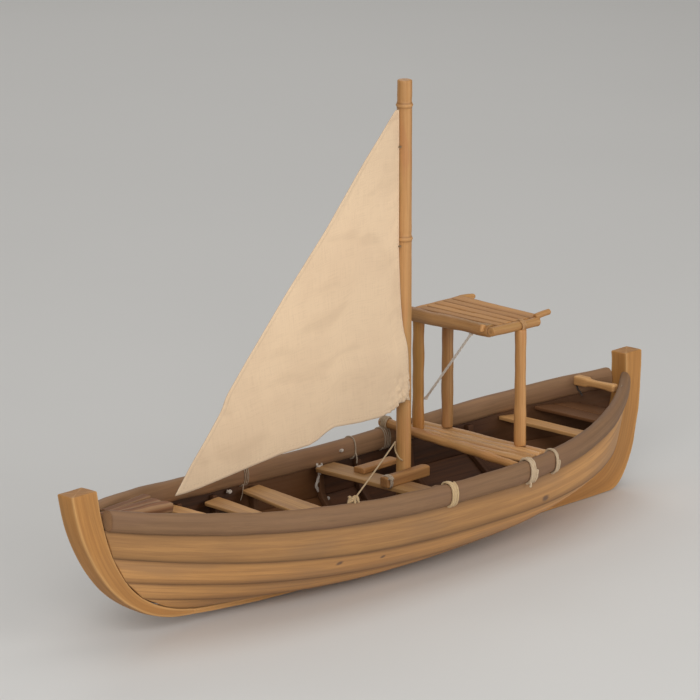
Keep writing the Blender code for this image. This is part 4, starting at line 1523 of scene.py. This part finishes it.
@dataclass
class Shelter:
    """Platform of flattish poles behind a round one, three posts and the slatted roof."""

    platform_x: float = -0.127
    platform_z: float = 0.0909
    pitch: float = 0.0104
    poles: int = 5
    radius: float = 0.0047
    flat: float = 0.75
    fore_radius: float = 0.004
    fore_ends: tuple = ((-0.096, 0.099), (0.0836, 0.0864))
    post_radius: float = 0.0057
    posts: tuple = (("post_fore_starboard", -0.1395, -0.0585, 0.2085),
                    ("post_aft_starboard", -0.166, -0.044, 0.2125),
                    ("post_aft_port", -0.163, 0.0518, 0.2085))
    post_tones: tuple[float, float, float] = (0.3, -0.55, 0.75)
    post_tenon: float = 0.0022
    roof_fore: tuple = (-0.127, 0.214, (0.0068, 0.006), (-0.062, 0.0452))
    roof_port: tuple = ((-0.12, 0.0508, 0.2155, 0.005), (-0.189, 0.0508, 0.2128, 0.0047))
    roof_starboard: tuple = ((-0.1344, -0.057, 0.214, 0.0049), (-0.202, -0.057, 0.2142, 0.0044),
                             (-0.2185, -0.057, 0.2145, 0.0025), (-0.221, -0.057, 0.2146, 0.0012))
    slats: tuple = ((-0.1346, 0.0112), (-0.1468, 0.0115), (-0.1593, 0.0114), (-0.1717, 0.0116),
                    (-0.1843, 0.015))
    slat_thick: float = 0.0045
    slat_lift: float = 0.0015
    peg: tuple[Point, ...] = ((-0.1222, 0.0392, 0.2205), (-0.1212, 0.0392, 0.2172), (-0.1208, 0.0392, 0.2135))
    twig: tuple[Point, ...] = ((-0.186, 0.05, 0.218), (-0.196, 0.0508, 0.2192), (-0.206, 0.0512, 0.2197))

    def build(self) -> None:
        """Makes every cane of the shelter."""
        self.platform()
        foot = self.platform_z + self.radius * self.flat + GAP
        for number, (name, x, y, top) in enumerate(self.posts):
            middle = (x + 0.0002, y, (foot + top) / 2)
            path = through(((x, y, foot), middle, (x, y, top + self.post_tenon)), 0.003)
            form = Form(f"{name}_cane", 160 + number, self.post_tones[number])
            form.pole(path, self.post_radius, ALONG, wobble=0.0004)
            form.put(CANE if number else WARM_CANE, slot="cane", nodes=[name])
        x, z, radii, ends = self.roof_fore
        path = through([(x, y, z) for y in ends], 0.0025)
        Form("roof_fore_cane", 170, -0.5).pole(path, np.linspace(*radii, len(path)), wobble=0.0006).put(
            CANE, nodes=["roof_fore_pole"])
        for number, (name, rings) in enumerate((("roof_pole_port", self.roof_port),
                                                ("roof_pole_starboard", self.roof_starboard))):
            table = np.array(rings)
            along = travelled(table[:, :3])
            way = np.linspace(0.0, along[-1], 44)
            x, y, z, radii = (np.interp(way, along, column) for column in table.T)
            Form(f"{name}_cane", 173 + number).pole(np.stack([x, y, z], axis=-1), radii, wobble=0.0005).put(
                CANE, nodes=[name])
        for number, (fore, width) in enumerate(self.slats, 1):
            self.slat(number, fore, width)
        Form("roof_peg", 187, 1.0).pole(through(self.peg, 0.0008), 0.0026, ALONG, sides=18).put(CANE)
        twig = through(self.twig, 0.0008)
        Form("roof_twig", 185).pole(twig, np.linspace(0.003, 0.0027, len(twig)), sides=18).put(CANE)

    def platform(self) -> None:
        """Four flattish poles between the rails, behind a round one that lies over the far rail."""
        path = through([(self.platform_x, y, z) for y, z in self.fore_ends], 0.003)
        radii = np.linspace(self.fore_radius + 0.0007, self.fore_radius, len(path))
        Form("platform_cane_1", 150, 0.6).pole(path, radii, wobble=0.0005).put(
            CANE, nodes=["platform_pole_1"])
        for number in range(1, self.poles):
            x = self.platform_x - number * self.pitch
            reach = float(LINES.rail(np.array(x))[0]) - LINES.rail_in - GAP
            path = through(((x, -reach, self.platform_z), (x, reach, self.platform_z)), 0.003)
            Form(f"platform_cane_{number + 1}", 150 + number).pole(
                path, self.radius - 0.0004, flat=self.flat, wobble=0.0006).put(
                STRIP_CANE, slot="cane", nodes=[f"platform_pole_{number + 1}"])

    def slat(self, number: int, fore: float, width: float) -> None:
        """One roof slat, notched into the far long pole and butted against the near one.

        Args:
            number: Number from the fore end.
            fore: x of its fore edge.
            width: Its width.
        """
        corners = []
        for rings, over, rise in ((self.roof_starboard, 0.0012, 0.001), (self.roof_port, -0.005, 0.0)):
            table = np.array(rings)[::-1]
            row = []
            for x, level in ((fore, 0), (fore - width, 0), (fore - width, 1), (fore, 1)):
                y, z = (float(np.interp(x, table[:, 0], table[:, k])) for k in (1, 2))
                row.append((x, y + over, z + rise + self.slat_lift + (level - 0.5) * self.slat_thick))
            corners.append(row)
        form = Form(f"roof_slat_{number}_cane", 176 + number)
        form.beam(np.array(corners), 0.001, 0.004, (5, 2), (0.0, 0.0, 0.0004, 0.0), 0.0004, fade=0.0005)
        form.put(SLAT_WOOD, slot="cane", nodes=[f"roof_slat_{number}"])


@dataclass
class Rig:
    """Cane mast, the boards beside it and the three-cornered cloth that turns with it."""

    mast_x: float = -0.0526
    radius: float = 0.0071
    foot_z: float = 0.018
    top_z: float = 0.464
    joints: tuple[float, ...] = (0.2933, 0.422)
    boards: tuple = (("mast_board_port", 0.0077, 0.018, 0.0771, 0.0872, -0.071, -0.01),
                     ("mast_board_starboard", -0.0455, -0.0315, 0.0771, 0.0826, -0.082, -0.031))
    luff: tuple = ((0.158, 64.0, 0.01), (0.19, 66.0, 0.0102), (0.208, 62.0, 0.0098),
                   (0.225, 36.0, 0.009), (0.25, 19.0, 0.0086), (0.3, 2.0, 0.0082), (0.4364, 0.0, 0.008))
    leech: tuple = ((0.2598, 0.1247), (0.2506, 0.1351), (0.2394, 0.1488), (0.22, 0.1685),
                    (0.1974, 0.1933), (0.192, 0.2045), (0.1652, 0.2325), (0.1112, 0.2869),
                    (0.0566, 0.3381), (0.0013, 0.3965), (-0.0405, 0.4364))
    foot: tuple = ((-0.0482, 0.158), (-0.0325, 0.1578), (-0.0262, 0.1505), (-0.0069, 0.1471),
                   (0.0228, 0.148), (0.0599, 0.1512), (0.0723, 0.1481), (0.0833, 0.1436), (0.0941, 0.1409),
                   (0.1321, 0.1399), (0.1673, 0.1353), (0.2038, 0.13), (0.2302, 0.1265), (0.2452, 0.1251),
                   (0.2598, 0.1247))
    torn: float = 0.022
    rim_reach: float = 0.02
    belly: float = 0.008
    thick: float = 0.0009
    rows: int = 150
    columns: int = 170

    def build(self) -> None:
        """Makes the mast, its boards and the sail."""
        path = through([(self.mast_x, 0.0, self.foot_z), (self.mast_x, 0.0, self.top_z)], 0.002)
        mast = Form("mast_cane", 190)
        mast.pole(path, self.radius, ALONG, joints=self.joints, sides=40, wobble=0.00015)
        mast.put(CANE, Body.RIG, nodes=["mast"])
        for number, (name, *sides, aft, fore) in enumerate(self.boards):
            corners = box_corners(np.linspace(aft, fore, 12), *sides)
            form = Form(f"{name}_block", 193 + number)
            form.beam(corners, 0.0016, 0.003, (6, 5), (0.0, 0.0, 0.0004, 0.0), 0.0004)
            form.put(BOARD_WOOD, slot="seat_wood", nodes=[name])
        self.sail()

    def middle(self) -> tuple[Array, Array, Array]:
        """The cloth's middle surface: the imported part's patch on a finer grid.

        u runs from the mast to the free edge and v from the foot up. Each row is a straight line between the
        luff and the leech; the foot's own curve is added and fades out by 1 - v, and so does a belly of
        sin(pi u).

        Returns:
            Points (rows by columns by three), u and v.
        """
        luff, leech, foot = (np.array(table) for table in (self.luff, self.leech, self.foot))
        v = np.linspace(0.0, 1.0, self.rows)[:, None]
        u = np.linspace(0.0, 1.0, self.columns)[None, :]
        z = luff[0, 0] + (luff[-1, 0] - luff[0, 0]) * v
        angle = soften_line(np.radians(np.interp(z, luff[:, 0], luff[:, 1])), 5)
        reach = np.interp(z, luff[:, 0], luff[:, 2])
        left = (self.mast_x + reach * np.cos(angle), reach * np.sin(angle), z)
        leech_z = leech[0, 1] + (leech[-1, 1] - leech[0, 1]) * v
        right = (soften_line(np.interp(leech_z, leech[:, 1], leech[:, 0]), 3), 0 * v, leech_z)
        foot_x = left[0][0] + (right[0][0] - left[0][0]) * u
        foot_z = soften_line(np.interp(foot_x, foot[:, 0], foot[:, 1]).T, 2).T
        low = (foot_x, left[1][0] * (1 - u), foot_z)
        belly = self.belly * np.sin(math.pi * u) * (1 - v)
        parts = []
        for axis in range(3):
            ruled = left[axis] * (1 - u) + right[axis] * u
            parts.append(ruled + (1 - v) * (low[axis] - ruled[:1]) + (belly if axis == 1 else 0.0))
        return np.stack(parts, axis=-1), u, v

    def sail(self) -> None:
        """The cloth: its patch with soft folds, a crumpled lower aft corner and a thin thickness.

        Folds are y = height times smooth waves of the flat place, each fading away from where the cloth is
        pulled: long ones from corner to corner, short ones beside the mast, and lumps at the torn corner.
        """
        points, u, v = self.middle()
        across = np.linalg.norm(np.diff(points, axis=1), axis=-1)
        flat_u = np.concatenate([np.zeros((self.rows, 1)), np.cumsum(across, axis=1)], axis=1)
        upward = np.linalg.norm(np.diff(points[:, :1], axis=0), axis=-1)
        flat_v = np.concatenate([np.zeros((1, 1)), np.cumsum(upward, axis=0)], axis=0) + 0 * u
        corner = np.exp(-(np.hypot(flat_u - 0.008, flat_v) / self.torn) ** 2)
        inner = np.clip(u * 6, 0, 1) * np.clip((1 - u) * 8, 0, 1)
        x, z = points[..., 0], points[..., 2]
        slant = np.stack([x * 0.45 + z * 0.35, 0 * x, z - x * 0.25], axis=-1)
        fold = 0.0009 * wander(slant, 5, 0.09) + 0.00018 * wander(slant, 6, 0.03)
        near = np.exp(-flat_u / self.torn) * np.clip(flat_u / 0.006, 0, 1)
        fold = fold * inner + near * 0.0005 * np.sin(flat_v * 150 + 2 * np.sin(flat_v * 30))
        lumps = wander(points, 8, 0.009) * 0.0028 + wander(points, 9, 0.0042) * 0.0012
        points[..., 1] += fold + corner * (np.abs(lumps) * 1.2 + 0.0006)
        points[..., 2] += corner * (1 - v) ** 2 * (wander(points, 10, 0.008) * 0.0016 - 0.001)
        loose = corner * (1 - u) * np.clip(flat_u / 0.004, 0, 1)
        points[..., 0] += loose * wander(points, 12, 0.007) * 0.0008
        ragged = np.exp(-(flat_v / 0.0016)) * np.clip(1 - flat_u / 0.06, 0, 1)
        points[..., 2] -= ragged * np.abs(wander(points, 14, 0.0035)) * 0.0016
        rim = np.minimum(np.minimum(flat_u[:, -1:] - flat_u, flat_v), flat_u + 0.002)
        rim = np.clip(rim, 0.0, self.rim_reach)
        rim[:, -1] = 0.0
        traits = np.stack([rim, corner, 0 * rim], axis=-1)
        made = self.cloth_object(points, np.stack([flat_u, flat_v], axis=-1), traits)
        area = grid_area(points)

    def cloth_object(self, points: Array, uv: Array, traits: Array) -> bpy.types.Object:
        """Makes the cloth's mesh from its grid, with a live thickness.

        Args:
            points: Points, rows by columns by three.
            uv: Places on the flat cloth.
            traits: Distance from the rim and the torn corner's mask.

        Returns:
            The object.
        """
        rows, columns = points.shape[:2]
        index = np.arange(rows * columns).reshape(rows, columns)
        quads = np.stack([index[:-1, :-1], index[:-1, 1:], index[1:, 1:], index[1:, :-1]], axis=-1)
        quads = quads.reshape(-1, 4)
        mesh = bpy.data.meshes.new("sail_sheet")
        mesh.from_pydata(points.reshape(-1, 3).tolist(), [], quads.tolist())
        layer = mesh.uv_layers.new(name="own")
        layer.data.foreach_set("uv", uv.reshape(-1, 2)[quads.ravel()].astype(np.float32).ravel())
        made = mesh.attributes.new("traits", "FLOAT_VECTOR", "POINT")
        made.data.foreach_set("vector", traits.reshape(-1, 3).astype(np.float32).ravel())
        mesh.shade_smooth()
        piece = placed("sail_sheet", mesh, SAIL_CLOTH, Body.RIG, ["sail"])
        wall = piece.modifiers.new("thickness", "SOLIDIFY")
        wall.thickness = self.thick
        wall.offset = 0.0
        return piece


def soften_line(values: Array, reach: int) -> Array:
    """Mean of each value with its neighbours down a column, weighted by a raised cosine; the ends stay.

    Args:
        values: One column of values.
        reach: Number of neighbours on each side.

    Returns:
        The softened column.
    """
    weights = np.hanning(2 * reach + 3)[1:-1]
    column = values[:, 0]
    before = 2 * column[0] - column[reach:0:-1]
    after = 2 * column[-1] - column[-2:-reach - 2:-1]
    return np.convolve(np.concatenate([before, column, after]), weights / weights.sum(), "valid")[:, None]


def grid_area(points: Array) -> float:
    """Area of a grid surface: half the cross product of each cell's diagonals.

    Args:
        points: Points, rows by columns by three.

    Returns:
        The area in square metres.
    """
    one = points[1:, 1:] - points[:-1, :-1]
    other = points[1:, :-1] - points[:-1, 1:]
    return float(0.5 * np.linalg.norm(np.cross(one, other), axis=-1).sum())


@dataclass(frozen=True)
class Strand:
    """Twine on a smooth path through points."""

    points: tuple[Point, ...]
    radius: float
    up: Point = ALONG
    sides: int = 12

    def lay(self, form: Form) -> None:
        """Adds the twine to a piece."""
        form.twine(through(self.points), self.radius, self.up, self.sides)


@dataclass(frozen=True)
class Line:
    """Taut twine: a straight line from start to end, less sag times half a sine wave."""

    start: Point
    end: Point
    radius: float
    up: Point
    steps: int
    sag: float = 0.0

    def lay(self, form: Form) -> None:
        """Adds the twine to a piece.

        Args:
            form: The piece.
        """
        start, end = np.array(self.start), np.array(self.end)
        path = start + (end - start) * np.linspace(0.0, 1.0, self.steps)[:, None]
        path[:, 2] -= self.sag * np.sin(np.linspace(0.0, math.pi, self.steps))
        form.twine(path, self.radius, self.up)


@dataclass(frozen=True)
class Knot:
    """A small overhand knot: a path on a doughnut, twice round the hole while thrice through it."""

    centre: Point
    size: float
    radius: float
    girth: float = 0.42
    height: float = 0.62
    steps: int = 150

    def lay(self, form: Form) -> None:
        """Adds the knot to a piece.

        Args:
            form: The piece.
        """
        t = np.linspace(0.0, TURN, self.steps)
        wide = self.size * (1.0 + self.girth * np.cos(3 * t))
        rise = self.size * self.height * np.sin(3 * t)
        ring = np.stack([wide * np.cos(2 * t), wide * np.sin(2 * t), rise], axis=-1)
        form.twine(np.array(self.centre) + ring, self.radius, (0.3, 0.2, 1.0), 10)


@dataclass(frozen=True)
class Coil:
    """Turns of twine round a straight piece: an oval, wide level and high upright, moved along it."""

    centre: Point
    along: Point
    wide: float
    high: float
    turns: float
    pitch: float
    start: float
    radius: float

    def lay(self, form: Form) -> None:
        """Adds the turns to a piece.

        Args:
            form: The piece.
        """
        along = np.array(self.along)
        across = along[[1, 0, 2]]
        count = int(46 * self.turns) + 8
        angle = np.linspace(self.start, self.start + TURN * self.turns, count)[:, None]
        oval = across * self.wide * np.cos(angle) + np.array(UPWARD) * self.high * np.sin(angle)
        path = np.array(self.centre) + oval + along * ((angle - angle.mean()) / TURN * self.pitch)
        form.twine(path, self.radius, self.along)


@dataclass(frozen=True)
class RailTurns:
    """Turns of twine that lie on a rail's own section, with a slack that wavers by phase."""

    side: Side
    x: float
    turns: float
    pitch: float
    radius: float
    phase: float
    start: float = -2.4

    def lay(self, form: Form) -> None:
        """Adds the turns to a piece.

        Args:
            form: The piece.
        """
        angle = np.linspace(self.start, self.start + TURN * self.turns, int(56 * self.turns) + 8)
        slack = self.radius * (0.92 + 0.25 * np.sin(angle * 0.37 + self.phase))
        x = self.x - (angle - angle.mean()) / TURN * self.pitch
        path = LINES.rail_point(x, angle, self.side.value)
        out = LINES.rail_point(x, angle, self.side.value, 0.01)
        form.twine(path + unit(out - path) * slack[:, None], self.radius, ALONG, 14)


@dataclass(frozen=True)
class Cord:
    """A piece of twine: its parts, and what it stands for and moves with."""

    name: str
    seed: int
    finish: Twine
    parts: tuple[Strand | Line | Knot | Coil | RailTurns, ...]
    nodes: tuple[str, ...] = ()
    body: Body = Body.HULL

    def build(self) -> None:
        """Makes the piece from its parts."""
        form = Form(self.name, self.seed)
        for part in self.parts:
            part.lay(form)
        form.put(self.finish, self.body, "twine", self.nodes)


@dataclass
class Cordage:
    """Lashings, ties, the guy with its knot and the brace of the shelter."""

    guy_end: Point = (0.1031, 0.079, 0.1045)
    guy_tails: tuple[Point, ...] = (
        (0.012, 0.002, -0.0024), (0.0088, 0.0078, -0.002), (0.004, 0.0085, -0.0016))
    brace_cord: Cord = Cord("brace_cord", 223, WHITE_TWINE, (
        Line((-0.144, -0.0528, 0.1265), (-0.1275, 0.019, 0.2062), 0.00128, ALONG, 200),
        Knot((-0.144, -0.0528, 0.1265), 0.0013, 0.0007),
        Knot((-0.1275, 0.019, 0.2062), 0.0013, 0.0006)), ("shelter_brace",))
    sail_ties: Cord = Cord("sail_ties", 231, DULL_TWINE, tuple(
        Knot((Rig.mast_x + Rig.radius + 0.0012, 0.0016, z), 0.0008, 0.0005) for z in (0.401, 0.305, 0.233)),
        body=Body.RIG)
    rail_lashings: tuple[Cord, ...] = (
        Cord("rail_lashing_fore", 200, CREAM_TWINE, (RailTurns(Side.PORT, -0.015, 3.6, 0.0021, 0.0012, 0),)),
        Cord("rail_lashing_middle", 201, TAN_TWINE, (
            RailTurns(Side.PORT, -0.1292, 3.4, 0.0025, 0.00135, 1),
            Strand(((-0.1254, 0.0975, 0.0745), (-0.1246, 0.0988, 0.0725), (-0.124, 0.0984, 0.07)),
                   0.001215))),
        Cord("rail_lashing_aft", 202, TAN_TWINE, (RailTurns(Side.PORT, -0.167, 2.4, 0.0021, 0.00115, 2),)),
        Cord("far_strands_platform", 203, PALE_TWINE, (
            RailTurns(Side.STARBOARD, -0.1225, 4.4, 0.0026, 0.00065, 3),)),
        Cord("far_tie_board", 204, PALE_TWINE, (
            RailTurns(Side.STARBOARD, -0.0757, 1.3, 0.0014, 0.0008, 4),
            Strand(((-0.0765, -0.0838, 0.08), (-0.0762, -0.082, 0.075), (-0.0764, -0.0822, 0.069)),
                   0.00072))),
        Cord("far_strands_fore", 205, PALE_TWINE, (
            RailTurns(Side.STARBOARD, 0.081, 3.3, 0.0026, 0.0005, 5),
            Strand(((0.085, -0.0805, 0.083), (0.088, -0.079, 0.075), (0.0895, -0.08, 0.068)), 0.00045))))
    board_lashings: tuple[Cord, ...] = (
        Cord("board_lashing", 233, PALE_TWINE, (
            Coil((-0.015, 0.01285, 0.08215), ALONG, 0.0064, 0.0061, 2.4, 0.0022, 0.4, 0.0008),
            Knot((-0.0128, 0.0188, 0.0866), 0.0014, 0.0008))),
        Cord("pole_lashing", 234, TAN_TWINE, (
            Coil((-0.127, -0.089, 0.0985), ACROSS, 0.0058, 0.0058, 3.2, 0.0023, 0.3, 0.0011),)),
        Cord("post_lashing", 235, CANE_TWINE, (
            Coil((-0.163, 0.0508, 0.2137), ALONG, 0.0056, 0.0056, 2.2, 0.0019, 0.0, 0.0009),)))
    small_knots: tuple[Cord, ...] = (
        Cord("far_rail_knots", 241, WHITE_TWINE, (
            Strand(((-0.0216, -0.085, 0.08), (-0.025, -0.0842, 0.07), (-0.0232, -0.0846, 0.0629),
                    (-0.0215, -0.085, 0.0572), (-0.0262, -0.0852, 0.0495), (-0.033, -0.085, 0.043)), 0.0015),
            Strand(((-0.0285, -0.085, 0.079), (-0.0288, -0.084, 0.074), (-0.0275, -0.0842, 0.069)), 0.0012),
            Knot((-0.024, -0.0838, 0.0755), 0.002, 0.0012),
            Knot((-0.036, -0.0842, 0.042), 0.0014, 0.0008),
            Knot((-0.0552, -0.0836, 0.0862), 0.0013, 0.0008),
            Knot((0.1055, -0.08, 0.08), 0.0016, 0.0008))),
        Cord("stern_hook", 242, DARK_TWINE, (
            Strand(((-0.3395, -0.024, 0.107), (-0.3395, -0.0233, 0.1029), (-0.3395, -0.02, 0.1),
                    (-0.3395, -0.0167, 0.0964)), 0.001, sides=8),)),
        Cord("stern_thread", 243, PALE_TWINE, (
            Strand(((-0.34, 0.0335, 0.1165), (-0.34, 0.0285, 0.108), (-0.3392, 0.027, 0.0985)), 0.0005,
                   sides=8),)))

    def build(self) -> None:
        """Makes every lashing and cord."""
        for cord in (*self.rail_lashings, self.guy_rope(), self.brace_cord, self.sail_ties,
                     *self.board_lashings, *self.small_knots):
            cord.build()

    def guy_rope(self) -> Cord:
        """The guy: the taut line with its hanging end at the mast, and a fanned knot on the rail.

        Returns:
            The cord.
        """
        x, y, z = self.guy_end
        tails = [Strand((self.guy_end, (x + dx / 2, y + dy / 2, z + 0.0004), (x + dx, y + dy, z + dz)),
                        0.0013, UPWARD, 8) for dx, dy, dz in self.guy_tails]
        return Cord("guy_rope", 221, GUY_TWINE, (
            Line((-0.045, -0.0038, 0.1122), self.guy_end, 0.0008, UPWARD, 260, 0.0006),
            Strand(((-0.0449, -0.004, 0.112), (-0.044, -0.003, 0.104), (-0.0438, 0.002, 0.0975),
                    (-0.0444, 0.0062, 0.0955)), 0.00084),
            Knot((x + 0.003, y, z - 0.0008), 0.0032, 0.0015),
            Knot((x + 0.0058, y + 0.0016, z - 0.002), 0.0026, 0.0015), *tails), ("mast_guy",))


@dataclass
class Studio:
    """Pale floor, soft lights and the camera at the photograph's angle."""

    camera: Point = (3.3805, 3.0637, 1.4023)
    facing: Point = (-0.71471655, -0.65226688, -0.25244437)
    lens: float = 257.14
    film: float = 36.0
    sight: float = 100.0
    floor_half: float = 30.0
    floor_level: float = -0.0006
    backdrop: Colour = (0.62, 0.61, 0.59)
    backdrop_light: float = 0.45
    lit_point: Point = (0.0, 0.0, 0.15)
    lights: tuple = (
        ("key_light", (2.3, 1.9, 1.5), 1.6, 43.5),
        ("fill_light", (-0.9, 3.1, 0.9), 2.2, 40.0),
        ("back_light", (-2.0, -2.4, 2.2), 1.8, 14.0),
        ("top_light", (0.0, 0.0, 3.0), 2.0, 18.0))

    def build(self) -> None:
        """Makes the floor, the lights, the world's light and the camera."""
        half, level = self.floor_half, self.floor_level
        corners = [(-half, -half, level), (half, -half, level), (half, half, level), (-half, half, level)]
        mesh = bpy.data.meshes.new("studio_floor")
        mesh.from_pydata(corners, [], [(0, 1, 2, 3)])
        mesh.materials.append(dressed(StudioFloor()))
        made = bpy.data.objects.new("studio_floor", mesh)
        bpy.context.scene.collection.objects.link(made)
        for name, place, size, power in self.lights:
            lamp = bpy.data.lights.new(name, "AREA")
            lamp.size = size
            lamp.energy = power
            self.aimed(name, lamp, place, Vector(self.lit_point) - Vector(place))
        world = bpy.data.worlds.new("studio")
        world.use_nodes = True
        sky = world.node_tree.nodes["Background"]
        sky.inputs["Color"].default_value = (*self.backdrop, 1.0)
        sky.inputs["Strength"].default_value = self.backdrop_light
        bpy.context.scene.world = world
        bpy.context.scene.view_settings.view_transform = "Standard"
        data = bpy.data.cameras.new("camera")
        data.lens = self.lens
        data.sensor_width = self.film
        data.clip_end = self.sight
        bpy.context.scene.camera = self.aimed("camera", data, self.camera, Vector(self.facing))

    def aimed(self, name: str, data: Any, place: Point, facing: Vector) -> bpy.types.Object:
        """Puts a lamp or a camera in the scene.

        Args:
            name: Name of the object.
            data: The lamp or the camera.
            place: Where it stands.
            facing: The direction it looks in.

        Returns:
            The object.
        """
        made = bpy.data.objects.new(name, data)
        made.location = place
        made.rotation_euler = facing.to_track_quat("-Z", "Y").to_euler()
        bpy.context.scene.collection.objects.link(made)
        return made


def main() -> None:
    """Builds every sub-assembly in order."""
    logging.basicConfig(level=logging.INFO, format="%(message)s")
    for assembly in (Studio(), Backbone(), Planking(), Inside(), Foredeck(), Shelter(), Rig(), Cordage()):
        LOG.info("building %s", type(assembly).__name__)
        assembly.build()


if __name__ == "__main__":
    main()
